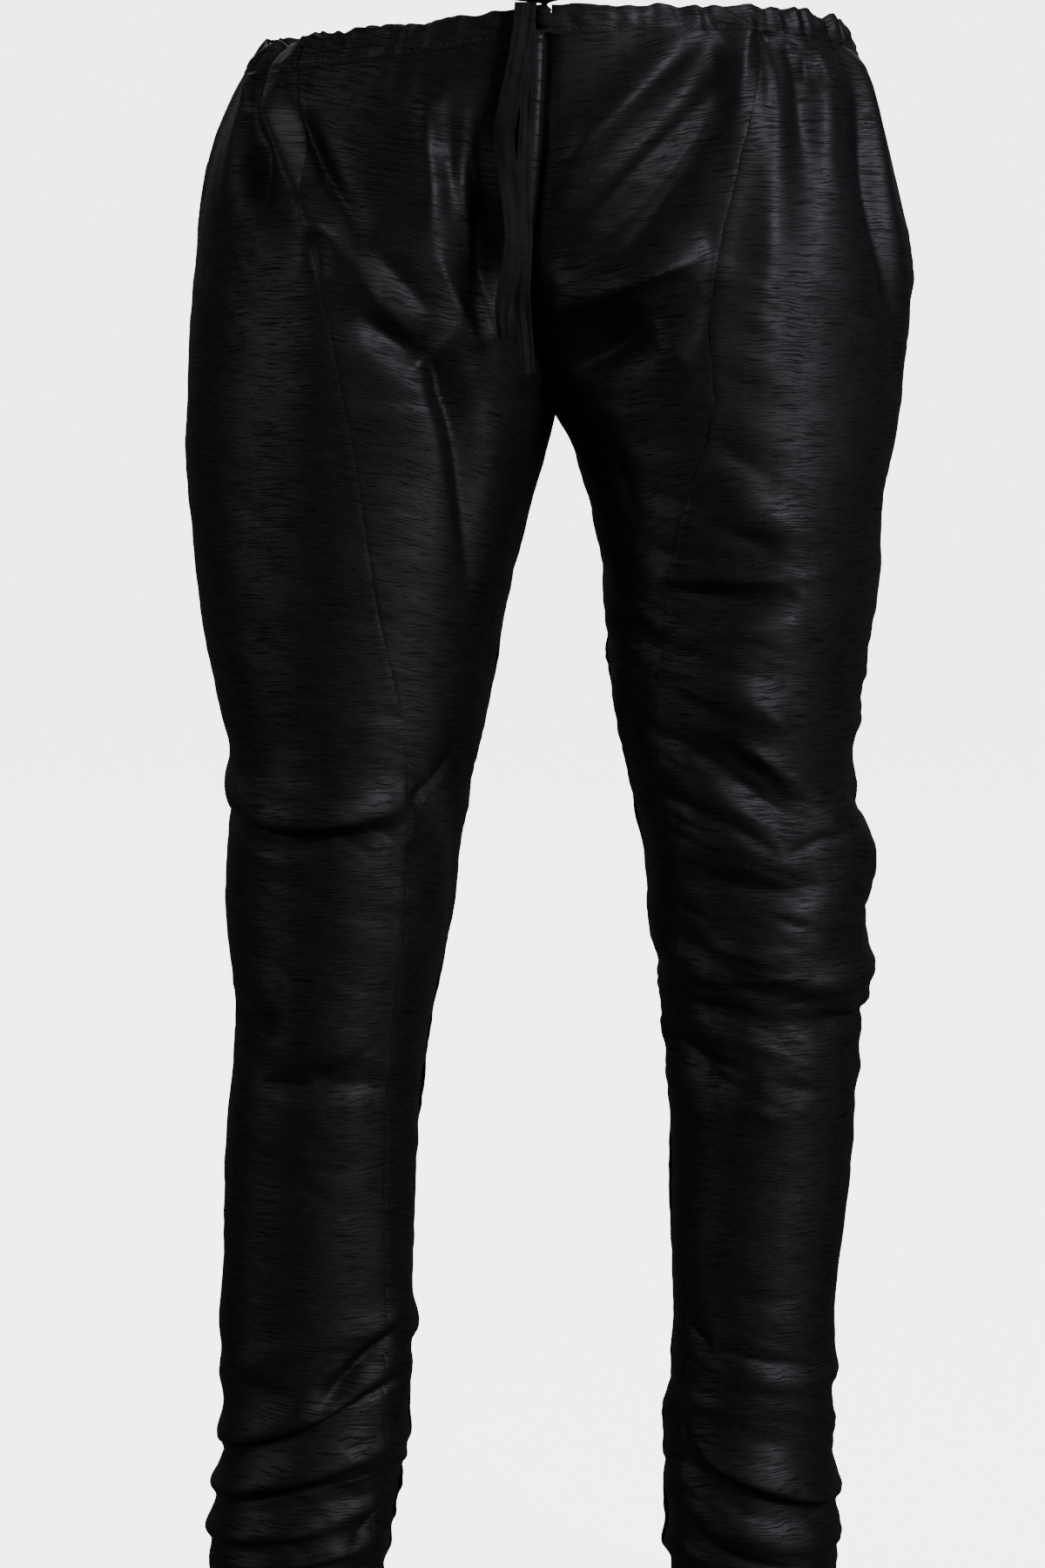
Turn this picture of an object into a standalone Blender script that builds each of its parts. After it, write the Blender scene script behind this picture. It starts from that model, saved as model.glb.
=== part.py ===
"""Churidar: a drawstring trouser of slub silk, worn, with its cloth gathered at the waist and the ankles.

Metres, +Z up, the front faces -Y and the wearer's left leg is at +X.
The origin is the middle of the waist, level with the drawstring.

Each leg is a tube of cloth described by two coordinates. `turn` runs round it: 0 at the centre front
(the inseam below the crotch), 0.5 at the outer side and 1 at the centre back (the inseam again).
`height` runs down it, 0 at the drawstring. Every piece is cut from that tube between its own seams.
"""
import math
from collections import namedtuple

import bmesh
import bpy
import numpy as np

# Cloth and sewing
CLOTH = 0.0013
SEAM_GAP = 0.0003
CASING_CLOTH = 0.0024
CASING_PROUD = 0.0006

# Lengths down the garment
HEM_HEIGHT = -1.020
CROTCH_HEIGHT = -0.228
EVEN_BELOW_WAIST = -0.110
BODY_FORM_ENDS = -0.020
LEG_FORM_STARTS = -0.205
LEVEL_EDGE_ABOVE = -0.020
LEVEL_EDGE_BELOW = -0.070
HEM_TURNING = 0.012
HEM_LAYERS = 2.0

# How far, as a part of a turn, the centre seams hold the folds beside them flat
SEAM_HOLD = 0.08

# Gathers of the casing on its drawstring, on each half of the waist
GATHERS = 26
GATHER_COLUMNS = 4
GATHER_RISE = 0.0012
SCALLOP = 0.0012
GATHER_DRIFT = 1.4
GATHER_DRIFTS = 3
CASING_SLIT = 0.004
CALM_FROM_SLIT = 0.06

# Mesh density and small steps
SIDE_PANEL_COLUMNS = 16
FRONT_GUSSET_COLUMNS = 6
BACK_GUSSET_COLUMNS = 4
CASING_ROWS = 2
PATH_STEPS = 9
RING_STEPS = 33
SETTLE_STEPS = 4
TURN_STEP = 0.002
HEIGHT_STEP = 0.001
TINY = 1e-6
SHARP_DEGREES = 50.0

Section = namedtuple("Section", "height outer inner front back")
Body = namedtuple("Body", "height centre front back cut")
Rim = namedtuple("Rim", "turn height casing")
Seam = namedtuple("Seam", "height bearing")
Fold = namedtuple("Fold", "bearing_1 height_1 bearing_2 height_2 bearing_3 height_3 fullest width rise lean")
Roll = namedtuple("Roll", "height tilt low_bearing width rise droop flat_bearing")
Band = namedtuple("Band", "bottom rows")
Bead = namedtuple("Bead", "height across half_width half_depth")
Strip = namedtuple("Strip", "height across forward width twist")
Leg = namedtuple("Leg", "name sign sections rim front_seam back_seam folds rolls")

# The body of the garment: where its centre seams lie, its depth before and behind them, and how many
# degrees of a leg's oval they cut off, before and behind, down to nothing at the crotch
BODY = (
    Body(0.030, -0.012, -0.108, 0.112, 52),
    Body(0.000, -0.013, -0.114, 0.118, 50),
    Body(-0.050, -0.015, -0.121, 0.125, 48),
    Body(-0.100, -0.018, -0.124, 0.131, 45),
    Body(-0.145, -0.022, -0.122, 0.134, 39),
    Body(-0.190, -0.018, -0.117, 0.132, 28),
    Body(-0.215, -0.011, -0.113, 0.128, 15),
    Body(-0.228, -0.008, -0.110, 0.126, 0),
)

# The leg tubes, seen from the front and the side. Their inner sides are free only below the crotch.
RIGHT_SECTIONS = (
    Section(0.030, -0.172, -0.008, -0.110, 0.112),
    Section(0.000, -0.184, -0.008, -0.114, 0.118),
    Section(-0.030, -0.201, -0.008, -0.118, 0.122),
    Section(-0.075, -0.220, -0.008, -0.121, 0.127),
    Section(-0.140, -0.231, -0.008, -0.120, 0.130),
    Section(-0.200, -0.237, -0.008, -0.114, 0.124),
    Section(-0.228, -0.239, -0.008, -0.111, 0.119),
    Section(-0.245, -0.240, -0.010, -0.109, 0.115),
    Section(-0.280, -0.238, -0.019, -0.106, 0.109),
    Section(-0.345, -0.232, -0.036, -0.099, 0.098),
    Section(-0.411, -0.221, -0.048, -0.091, 0.084),
    Section(-0.452, -0.212, -0.057, -0.086, 0.076),
    Section(-0.494, -0.216, -0.065, -0.082, 0.073),
    Section(-0.560, -0.215, -0.075, -0.074, 0.079),
    Section(-0.612, -0.211, -0.086, -0.068, 0.084),
    Section(-0.679, -0.217, -0.094, -0.061, 0.080),
    Section(-0.747, -0.220, -0.097, -0.055, 0.071),
    Section(-0.816, -0.222, -0.099, -0.052, 0.062),
    Section(-0.884, -0.218, -0.103, -0.052, 0.055),
    Section(-0.940, -0.225, -0.112, -0.053, 0.051),
    Section(-1.030, -0.224, -0.127, -0.052, 0.047),
)
LEFT_SECTIONS = (
    Section(0.030, 0.166, -0.008, -0.110, 0.112),
    Section(0.000, 0.176, -0.008, -0.114, 0.118),
    Section(-0.030, 0.191, -0.008, -0.118, 0.122),
    Section(-0.075, 0.204, -0.008, -0.121, 0.127),
    Section(-0.140, 0.217, -0.008, -0.120, 0.130),
    Section(-0.200, 0.213, -0.008, -0.114, 0.124),
    Section(-0.228, 0.211, -0.008, -0.111, 0.119),
    Section(-0.245, 0.208, 0.001, -0.109, 0.115),
    Section(-0.280, 0.201, 0.013, -0.106, 0.109),
    Section(-0.345, 0.197, 0.024, -0.099, 0.098),
    Section(-0.411, 0.188, 0.029, -0.091, 0.084),
    Section(-0.461, 0.183, 0.039, -0.085, 0.076),
    Section(-0.494, 0.190, 0.046, -0.082, 0.073),
    Section(-0.560, 0.193, 0.056, -0.074, 0.079),
    Section(-0.612, 0.189, 0.061, -0.068, 0.084),
    Section(-0.679, 0.185, 0.066, -0.061, 0.080),
    Section(-0.747, 0.180, 0.067, -0.055, 0.071),
    Section(-0.816, 0.172, 0.070, -0.052, 0.062),
    Section(-0.884, 0.172, 0.066, -0.052, 0.055),
    Section(-0.940, 0.173, 0.067, -0.053, 0.051),
    Section(-1.030, 0.174, 0.078, -0.052, 0.047),
)

# The top edge of the casing round each half of the waist, and how far down its stitching lies
RIGHT_RIM = (
    Rim(0.00, 0.0120, 0.018),
    Rim(0.18, 0.0010, 0.020),
    Rim(0.35, -0.0050, 0.020),
    Rim(0.50, -0.0030, 0.018),
    Rim(0.75, 0.0140, 0.018),
    Rim(1.00, 0.0220, 0.018),
)
LEFT_RIM = (
    Rim(0.00, 0.0120, 0.018),
    Rim(0.20, 0.0130, 0.015),
    Rim(0.38, 0.0115, 0.016),
    Rim(0.50, 0.0080, 0.018),
    Rim(0.75, 0.0150, 0.018),
    Rim(1.00, 0.0220, 0.018),
)

# The long seams that join a leg's side panel to its two gussets, by bearing round the leg in degrees:
# 0 is the outer side, -90 the front, 90 the back and 180 the inseam
RIGHT_FRONT_SEAM = (
    Seam(0.00, -46),
    Seam(-0.05, -59),
    Seam(-0.11, -69),
    Seam(-0.23, -85),
    Seam(-0.35, -101),
    Seam(-0.47, -121),
    Seam(-0.60, -131),
    Seam(-0.80, -137),
    Seam(-1.03, -148),
)
LEFT_FRONT_SEAM = (
    Seam(0.00, -70),
    Seam(-0.05, -79),
    Seam(-0.11, -87),
    Seam(-0.23, -98),
    Seam(-0.32, -121),
    Seam(-0.40, -131),
    Seam(-0.50, -142),
    Seam(-0.65, -151),
    Seam(-1.03, -146),
)
BACK_SEAM = (Seam(0.00, 66), Seam(-0.23, 92), Seam(-0.40, 120), Seam(-0.60, 140), Seam(-1.03, 148))

# Folds, each a line through three places (bearing, height): ridges rise, troughs fall
RIGHT_FOLDS = (
    Fold(-34, -0.010, -52, -0.055, -88, -0.150, 0.25, 0.013, 0.008, 0.2),
    Fold(-54, -0.045, -67, -0.085, -90, -0.135, 0.40, 0.013, -0.008, 0.0),
    Fold(-46, -0.055, -47, -0.084, -55, -0.115, 0.50, 0.012, -0.008, 0.0),
    Fold(-18, -0.008, -27, -0.045, -34, -0.110, 0.10, 0.011, 0.006, 0.0),
    Fold(-27, -0.008, -38, -0.045, -42, -0.100, 0.10, 0.009, -0.005, 0.0),
    Fold(-103, -0.030, -106, -0.078, -109, -0.135, 0.50, 0.011, 0.005, 0.0),
    Fold(-111, -0.055, -118, -0.120, -129, -0.185, 0.60, 0.014, -0.011, 0.0),
    Fold(-86, -0.168, -99, -0.188, -111, -0.200, 0.60, 0.012, -0.007, 0.0),
    Fold(-109, -0.195, -122, -0.245, -138, -0.350, 0.20, 0.014, -0.010, 0.0),
    Fold(-66, -0.095, -72, -0.160, -76, -0.300, 0.30, 0.020, 0.005, 0.0),
    Fold(5, -0.449, -58, -0.474, -126, -0.466, 0.40, 0.011, 0.009, 0.0),
    Fold(5, -0.465, -58, -0.491, -126, -0.483, 0.40, 0.010, -0.007, 0.0),
    Fold(-10, -0.600, -40, -0.609, -66, -0.609, 0.30, 0.012, -0.005, 0.0),
    Fold(-45, -0.649, -90, -0.647, -132, -0.646, 0.50, 0.011, -0.004, 0.0),
    Fold(20, -0.470, 70, -0.500, 130, -0.495, 0.50, 0.014, -0.006, 0.0),
    Fold(30, -0.430, 90, -0.455, 150, -0.440, 0.50, 0.016, 0.006, 0.0),
    Fold(20, -0.540, 80, -0.560, 150, -0.545, 0.50, 0.014, -0.005, 0.0),
    Fold(8, -0.010, 4, -0.060, 0, -0.160, 0.00, 0.012, 0.006, 0.0),
    Fold(36, -0.006, 30, -0.060, 26, -0.150, 0.00, 0.013, -0.006, 0.0),
    Fold(58, -0.004, 56, -0.060, 60, -0.170, 0.00, 0.014, 0.007, 0.0),
    Fold(80, -0.002, 84, -0.050, 90, -0.130, 0.00, 0.012, -0.005, 0.0),
    Fold(100, 0.000, 106, -0.060, 116, -0.150, 0.00, 0.012, 0.005, 0.0),
    Fold(60, -0.205, 100, -0.235, 140, -0.215, 0.60, 0.016, -0.007, 0.0),
)
LEFT_FOLDS = (
    Fold(-74, 0.004, -80, -0.030, -85, -0.110, 0.10, 0.013, 0.007, 0.2),
    Fold(-84, -0.010, -107, -0.070, -140, -0.158, 0.40, 0.014, -0.011, 0.0),
    Fold(-84, 0.000, -107, -0.035, -136, -0.115, 0.30, 0.012, 0.006, 0.0),
    Fold(-155, -0.180, -118, -0.150, -92, -0.138, 0.60, 0.012, 0.009, 0.3),
    Fold(-154, -0.206, -126, -0.188, -108, -0.172, 0.50, 0.017, -0.010, 0.0),
    Fold(-64, -0.008, -74, -0.088, -76, -0.230, 0.20, 0.013, 0.005, 0.0),
    Fold(-54, -0.010, -66, -0.080, -68, -0.180, 0.20, 0.010, -0.006, 0.0),
    Fold(-46, -0.010, -58, -0.085, -60, -0.210, 0.30, 0.011, 0.005, 0.0),
    Fold(-40, -0.040, -33, -0.125, -18, -0.210, 0.50, 0.014, -0.007, 0.0),
    Fold(-22, -0.008, -26, -0.070, -22, -0.150, 0.10, 0.012, 0.006, 0.0),
    Fold(-128, -0.334, -97, -0.345, -68, -0.343, 0.50, 0.012, -0.005, 0.0),
    Fold(-104, -0.286, -78, -0.302, -48, -0.310, 0.50, 0.013, 0.004, 0.0),
    Fold(-118, -0.385, -92, -0.408, -50, -0.424, 0.50, 0.014, 0.005, 0.0),
    Fold(-118, -0.436, -89, -0.460, -52, -0.494, 0.50, 0.014, -0.006, 0.0),
    Fold(-62, -0.466, -18, -0.505, 20, -0.520, 0.60, 0.016, 0.006, 0.0),
    Fold(-136, -0.504, -98, -0.526, -46, -0.518, 0.50, 0.013, -0.005, 0.0),
    Fold(-130, -0.548, -98, -0.562, -50, -0.555, 0.50, 0.013, 0.005, 0.0),
    Fold(10, -0.572, -42, -0.586, -96, -0.598, 0.30, 0.012, 0.007, 0.0),
    Fold(10, -0.598, -42, -0.606, -100, -0.614, 0.40, 0.011, -0.007, 0.0),
    Fold(-175, -0.618, -134, -0.632, -92, -0.646, 0.50, 0.013, -0.005, 0.0),
    Fold(20, -0.480, 75, -0.505, 140, -0.490, 0.50, 0.014, -0.006, 0.0),
    Fold(30, -0.440, 90, -0.462, 150, -0.450, 0.50, 0.016, 0.006, 0.0),
    Fold(25, -0.550, 80, -0.575, 145, -0.560, 0.50, 0.014, -0.005, 0.0),
    Fold(10, -0.008, 6, -0.060, 2, -0.150, 0.00, 0.013, -0.005, 0.0),
    Fold(34, -0.006, 30, -0.060, 28, -0.170, 0.00, 0.013, 0.006, 0.0),
    Fold(60, -0.004, 60, -0.055, 64, -0.150, 0.00, 0.013, -0.006, 0.0),
    Fold(84, -0.002, 88, -0.060, 96, -0.160, 0.00, 0.013, 0.006, 0.0),
    Fold(58, -0.200, 98, -0.230, 138, -0.212, 0.60, 0.016, -0.007, 0.0),
)

# Rolls of spare length pushed up round the ankles, each a sagging ring that is flattest at one bearing
RIGHT_ROLLS = (
    Roll(-0.826, 0.020, 30, 0.009, 0.005, 0.004, -60),
    Roll(-0.862, 0.020, 10, 0.010, 0.006, 0.005, 170),
    Roll(-0.897, 0.014, 0, 0.010, 0.008, 0.006, 120),
    Roll(-0.930, 0.010, -10, 0.010, 0.007, 0.006, 160),
    Roll(-0.962, 0.008, 60, 0.009, 0.006, 0.005, -120),
    Roll(-0.990, 0.006, 140, 0.009, 0.005, 0.004, 20),
)
LEFT_ROLLS = (
    Roll(-0.834, 0.006, -20, 0.009, 0.004, 0.003, -170),
    Roll(-0.868, 0.012, 60, 0.010, 0.005, 0.004, -60),
    Roll(-0.898, 0.018, 0, 0.010, 0.007, 0.006, -130),
    Roll(-0.932, 0.014, -30, 0.010, 0.006, 0.005, 150),
    Roll(-0.963, 0.008, 20, 0.009, 0.006, 0.005, -60),
    Roll(-0.991, 0.006, 120, 0.009, 0.005, 0.004, 100),
)

# Rows of the mesh, closer together where the cloth is folded
WAIST_ROWS = 7
BANDS = (
    Band(CROTCH_HEIGHT, 5),
    Band(-0.430, 5),
    Band(-0.640, 10),
    Band(-0.810, 4),
    Band(HEM_HEIGHT, 14),
)

# The drawstring: its knot over the slit of the casing, and its two free ends, flat strips of the cloth
KNOT = (
    Bead(-0.0030, -0.0145, 0.0030, 0.0018),
    Bead(0.0015, -0.0145, 0.0048, 0.0028),
    Bead(0.0080, -0.0150, 0.0050, 0.0029),
    Bead(0.0126, -0.0160, 0.0056, 0.0029),
    Bead(0.0136, -0.0190, 0.0128, 0.0076),
    Bead(0.0180, -0.0190, 0.0138, 0.0078),
    Bead(0.0230, -0.0185, 0.0120, 0.0066),
    Bead(0.0270, -0.0180, 0.0126, 0.0062),
    Bead(0.0305, -0.0180, 0.0070, 0.0036),
)
KNOT_FORWARD = -0.1176
KNOT_SIDES = 12
LONG_END = (
    Strip(0.0123, -0.0255, -0.1232, 0.0130, 0),
    Strip(-0.0050, -0.0275, -0.1250, 0.0130, 4),
    Strip(-0.0190, -0.0300, -0.1258, 0.0125, 8),
    Strip(-0.0450, -0.0350, -0.1260, 0.0120, 0),
    Strip(-0.0660, -0.0385, -0.1260, 0.0125, -10),
    Strip(-0.0920, -0.0355, -0.1258, 0.0130, 5),
    Strip(-0.1240, -0.0330, -0.1255, 0.0120, 15),
    Strip(-0.1500, -0.0355, -0.1252, 0.0110, 0),
    Strip(-0.1680, -0.0395, -0.1250, 0.0090, -15),
    Strip(-0.1860, -0.0385, -0.1250, 0.0060, -25),
)
SHORT_END = (
    Strip(0.0123, -0.0235, -0.1212, 0.0080, 0),
    Strip(-0.0190, -0.0240, -0.1214, 0.0080, 4),
    Strip(-0.0450, -0.0255, -0.1218, 0.0080, 4),
    Strip(-0.0870, -0.0270, -0.1218, 0.0080, 15),
    Strip(-0.1340, -0.0262, -0.1212, 0.0085, 10),
    Strip(-0.1660, -0.0275, -0.1206, 0.0090, -5),
    Strip(-0.1900, -0.0255, -0.1200, 0.0095, 5),
    Strip(-0.2070, -0.0245, -0.1198, 0.0090, 0),
)
STRIP_THICKNESS = 0.0016
STRIP_STEPS = 26

BLACK_SILK = ("black_silk", (0.012, 0.012, 0.015, 1.0), 0.42)

RIGHT = Leg("right", -1, RIGHT_SECTIONS, RIGHT_RIM, RIGHT_FRONT_SEAM, BACK_SEAM, RIGHT_FOLDS, RIGHT_ROLLS)
LEFT = Leg("left", 1, LEFT_SECTIONS, LEFT_RIM, LEFT_FRONT_SEAM, BACK_SEAM, LEFT_FOLDS, LEFT_ROLLS)


def column(rows, name, at):
    """A named column of a table, as a smooth curve through its rows, read at the given places."""
    ordered = sorted(rows)
    keys = np.array([row[0] for row in ordered])
    values = np.array([getattr(row, name) for row in ordered])
    slopes = np.gradient(values, keys)
    below = np.clip(np.searchsorted(keys, at) - 1, 0, len(keys) - 2)
    step = keys[below + 1] - keys[below]
    t = np.clip((at - keys[below]) / step, 0.0, 1.0)
    lift = values[below + 1] - values[below]
    curve = t * t * (3.0 - 2.0 * t) * lift
    curve += t * (1.0 - t) ** 2 * step * slopes[below]
    curve -= t * t * (1.0 - t) * step * slopes[below + 1]
    return values[below] + curve


def ease(start, end, at):
    """0 at start, 1 at end, with level ends."""
    t = np.clip((at - start) / (end - start), 0.0, 1.0)
    return t * t * (3.0 - 2.0 * t)


def half_oval(middle, reach, front, back, angle):
    """A point of an oval round `middle`, from the front (-) through the outer side (0) to the back (+)."""
    across = middle + reach * np.cos(angle)
    along = np.sin(angle)
    return across, np.where(along < 0.0, -front * along, back * along)


def half_span(height):
    """Half of the arc round a leg that the centre seams leave, in radians: a half turn below the crotch."""
    cut = np.where(height > CROTCH_HEIGHT, column(BODY, "cut", height), 0.0)
    return math.pi - np.radians(cut)


def smooth_form(leg, turn, height):
    """The tube without its folds: half of the body at the waist, which eases into a whole leg."""
    around = 2.0 * turn - 1.0
    span = half_span(height)
    centre = column(BODY, "centre", height)
    outer = column(leg.sections, "outer", height)
    inner = column(leg.sections, "inner", height)
    body_x, body_y = half_oval(
        centre,
        outer - centre,
        column(BODY, "front", height),
        column(BODY, "back", height),
        around * math.pi / 2.0,
    )
    # Above the crotch the leg's oval crosses the centre seams, which lie where it is cut
    crossing = np.where(height > CROTCH_HEIGHT, centre, inner)
    radius = (outer - crossing) / (1.0 - np.cos(span))
    leg_x, leg_y = half_oval(
        outer - radius,
        radius,
        column(leg.sections, "front", height),
        column(leg.sections, "back", height),
        around * span,
    )
    share = ease(BODY_FORM_ENDS, LEG_FORM_STARTS, height)
    x = body_x + (leg_x - body_x) * share + leg.sign * SEAM_GAP / 2.0
    y = body_y + (leg_y - body_y) * share
    return np.stack([x, y, height + np.zeros_like(x)], axis=-1)


def bearing_of(turn, height):
    """Angle round the leg, in radians, of a place given by its turn."""
    return (2.0 * turn - 1.0) * half_span(height)


def turn_of(bearing, height):
    """The turn of a place given by its angle round the leg, in degrees."""
    return 0.5 + np.radians(bearing) / (2.0 * half_span(height))


def cloth_per_radian(leg, height):
    """Length of cloth that one radian of bearing covers at one height."""
    ring = smooth_form(leg, np.linspace(0.0, 1.0, RING_STEPS), height)
    length = np.linalg.norm(np.diff(ring, axis=0), axis=1).sum()
    return length / (2.0 * float(half_span(height)))


def fold_rise(leg, fold, bearing, height):
    """How far one fold lifts the cloth at each place: a soft line through its three points."""
    scale = cloth_per_radian(leg, fold.height_2)
    t = np.linspace(0.0, 1.0, PATH_STEPS)
    first, second, third = (1 - t) * (1 - 2 * t), 4 * t * (1 - t), t * (2 * t - 1)
    path = np.radians(first * fold.bearing_1 + second * fold.bearing_2 + third * fold.bearing_3)
    level = first * fold.height_1 + second * fold.height_2 + third * fold.height_3
    nearest = np.full(bearing.shape, np.inf)
    place = np.zeros(bearing.shape)
    side = np.zeros(bearing.shape)
    for step in range(PATH_STEPS - 1):
        off = bearing - path[step]
        off = np.where(height < CROTCH_HEIGHT, (off + math.pi) % math.tau - math.pi, off) * scale
        up = height - level[step]
        run = (path[step + 1] - path[step]) * scale
        climb = level[step + 1] - level[step]
        along = np.clip((off * run + up * climb) / (run * run + climb * climb), 0.0, 1.0)
        apart = np.hypot(off - along * run, up - along * climb)
        closer = apart < nearest
        nearest = np.where(closer, apart, nearest)
        place = np.where(closer, (step + along) / (PATH_STEPS - 1), place)
        side = np.where(closer, np.sign(run * up - climb * off), side)
    reach = np.where(place < fold.fullest, fold.fullest, 1.0 - fold.fullest)
    strength = np.cos(math.pi / 2.0 * (place - fold.fullest) / np.maximum(reach, TINY))
    width = fold.width * (1.0 + fold.lean * side)
    return fold.rise * strength * np.exp(-((nearest / width) ** 2))


def roll_shape(roll, bearing, height):
    """How strongly one roll of gathered cloth stands at each place, from 0 to 1."""
    level = roll.height - roll.tilt * np.cos(bearing - math.radians(roll.low_bearing))
    fullness = 0.62 - 0.38 * np.cos(bearing - math.radians(roll.flat_bearing))
    return fullness * np.exp(-(((height - level) / roll.width) ** 2))


def outward(leg, form, turn, height):
    """Outward normals of a form, from small steps round it and down it."""
    round_it = form(leg, turn + TURN_STEP, height) - form(leg, turn - TURN_STEP, height)
    down_it = form(leg, turn, height - HEIGHT_STEP) - form(leg, turn, height + HEIGHT_STEP)
    normal = np.cross(down_it, round_it) * leg.sign
    return normal / np.linalg.norm(normal, axis=-1, keepdims=True)


def folded_form(leg, turn, height):
    """The tube with its folds, which stand out level, and its rolls, which also sag."""
    place = smooth_form(leg, turn, height)
    level_out = outward(leg, smooth_form, turn, height)
    level_out[..., 2] = 0.0
    bearing = bearing_of(turn, height)
    rise = np.zeros(turn.shape)
    for fold in leg.folds:
        rise += fold_rise(leg, fold, bearing, height)
    # Above the crotch the folds die out towards the centre seams, where the two halves are sewn together
    held = ease(0.0, SEAM_HOLD, turn) * ease(1.0, 1.0 - SEAM_HOLD, turn)
    rise *= np.where(height > CROTCH_HEIGHT, held, 1.0)
    sag = np.zeros(turn.shape)
    for roll in leg.rolls:
        shape = roll_shape(roll, bearing, height)
        rise += roll.rise * shape
        sag += roll.droop * shape
    place = place + level_out * rise[..., None]
    place[..., 2] -= sag
    return place


def wall_normals(leg, turn, height):
    """Normals along which the cloth gets its thickness: level at the waist, so that edges stay level."""
    normal = outward(leg, folded_form, turn, height)
    normal[..., 2] *= ease(LEVEL_EDGE_ABOVE, LEVEL_EDGE_BELOW, height)
    return normal / np.linalg.norm(normal, axis=-1, keepdims=True)


def material():
    """The one cloth of the garment."""
    name, colour, roughness = BLACK_SILK
    silk = bpy.data.materials.new(name)
    silk.use_nodes = True
    shader = silk.node_tree.nodes["Principled BSDF"]
    shader.inputs["Base Color"].default_value = colour
    shader.inputs["Roughness"].default_value = roughness
    shader.inputs["Metallic"].default_value = 0.0
    silk.diffuse_color = colour
    return silk


def solid(name, outer, inner, cloth):
    """A named closed wall between two grids of points, [row][column], with its four edges closed."""
    rows, columns = outer.shape[:2]
    points = np.concatenate([outer.reshape(-1, 3), inner.reshape(-1, 3)])
    layer = rows * columns
    faces = []
    for row in range(rows - 1):
        for col in range(columns - 1):
            corner = row * columns + col
            quad = (corner, corner + 1, corner + columns + 1, corner + columns)
            faces.append(quad)
            faces.append(tuple(index + layer for index in reversed(quad)))
    last_row = (rows - 1) * columns
    for col in range(columns - 1):
        faces.append((col + 1, col, col + layer, col + 1 + layer))
        end = last_row + col
        faces.append((end, end + 1, end + 1 + layer, end + layer))
    for row in range(rows - 1):
        left = row * columns
        faces.append((left, left + columns, left + columns + layer, left + layer))
        right = left + columns - 1
        faces.append((right + columns, right, right + layer, right + columns + layer))
    return finish(name, points, faces, cloth)


def finish(name, points, faces, cloth):
    """An object from points and faces, split into triangles, with its faces pointing out."""
    mesh = bpy.data.meshes.new(name)
    mesh.from_pydata(points.tolist(), [], faces)
    shape = bmesh.new()
    shape.from_mesh(mesh)
    bmesh.ops.triangulate(shape, faces=shape.faces[:])
    bmesh.ops.recalc_face_normals(shape, faces=shape.faces[:])
    shape.to_mesh(mesh)
    shape.free()
    mesh.materials.append(cloth)
    mesh.shade_smooth()
    mesh.set_sharp_from_angle(angle=math.radians(SHARP_DEGREES))
    piece = bpy.data.objects.new(name, mesh)
    bpy.context.scene.collection.objects.link(piece)
    return piece


def panel(leg, name, first_edge, last_edge, columns, cloth):
    """A piece of a leg between two edges, given as functions of the height that return a turn."""
    share = np.linspace(0.0, 1.0, columns + 1)
    outer, inner = [], []
    turn = share
    for row in range(WAIST_ROWS + sum(band.rows for band in BANDS) + 1):
        # An edge depends on the height, and the top rows' heights on the turn, so they settle together
        for _ in range(SETTLE_STEPS):
            height = row_height(leg, row, turn)
            turn = first_edge(height) + (last_edge(height) - first_edge(height)) * share
        place = folded_form(leg, turn, height)
        normal = wall_normals(leg, turn, height)
        thickness = CLOTH * np.where(height > HEM_HEIGHT + HEM_TURNING, 1.0, HEM_LAYERS)
        outer.append(place)
        inner.append(place - normal * thickness[:, None])
    return solid(name, np.array(outer), np.array(inner), cloth)


def row_height(leg, row, turn):
    """Height of one row of a panel: the rows follow the casing near the waist and are level below."""
    if row < WAIST_ROWS:
        top = column(leg.rim, "height", turn) - column(leg.rim, "casing", turn) - SEAM_GAP
        return top + (EVEN_BELOW_WAIST - top) * row / WAIST_ROWS
    row -= WAIST_ROWS
    start = EVEN_BELOW_WAIST
    for band in BANDS:
        if row <= band.rows:
            return np.full(turn.shape, start + (band.bottom - start) * row / band.rows)
        row -= band.rows
        start = band.bottom
    return np.full(turn.shape, HEM_HEIGHT)


def seam_room(leg, height):
    """Half the gap of a seam, as a part of a turn."""
    return SEAM_GAP / 4.0 / (cloth_per_radian(leg, float(height.mean())) * half_span(height))


def leg_pieces(leg, cloth):
    """The side panel of one leg and the two gussets that close it."""
    def front_seam(height):
        return turn_of(column(leg.front_seam, "bearing", height), height)

    def back_seam(height):
        return turn_of(column(leg.back_seam, "bearing", height), height)

    def inner_seam(height):
        # At the centre seams, above the crotch, the two halves are already a gap apart
        return np.where(height > CROTCH_HEIGHT, 0.0, seam_room(leg, height))

    panel(
        leg,
        leg.name + "_side_panel",
        lambda height: front_seam(height) + seam_room(leg, height),
        lambda height: back_seam(height) - seam_room(leg, height),
        SIDE_PANEL_COLUMNS,
        cloth,
    )
    panel(
        leg,
        leg.name + "_front_gusset",
        inner_seam,
        lambda height: front_seam(height) - seam_room(leg, height),
        FRONT_GUSSET_COLUMNS,
        cloth,
    )
    panel(
        leg,
        leg.name + "_back_gusset",
        lambda height: back_seam(height) + seam_room(leg, height),
        lambda height: 1.0 - inner_seam(height),
        BACK_GUSSET_COLUMNS,
        cloth,
    )


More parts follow.
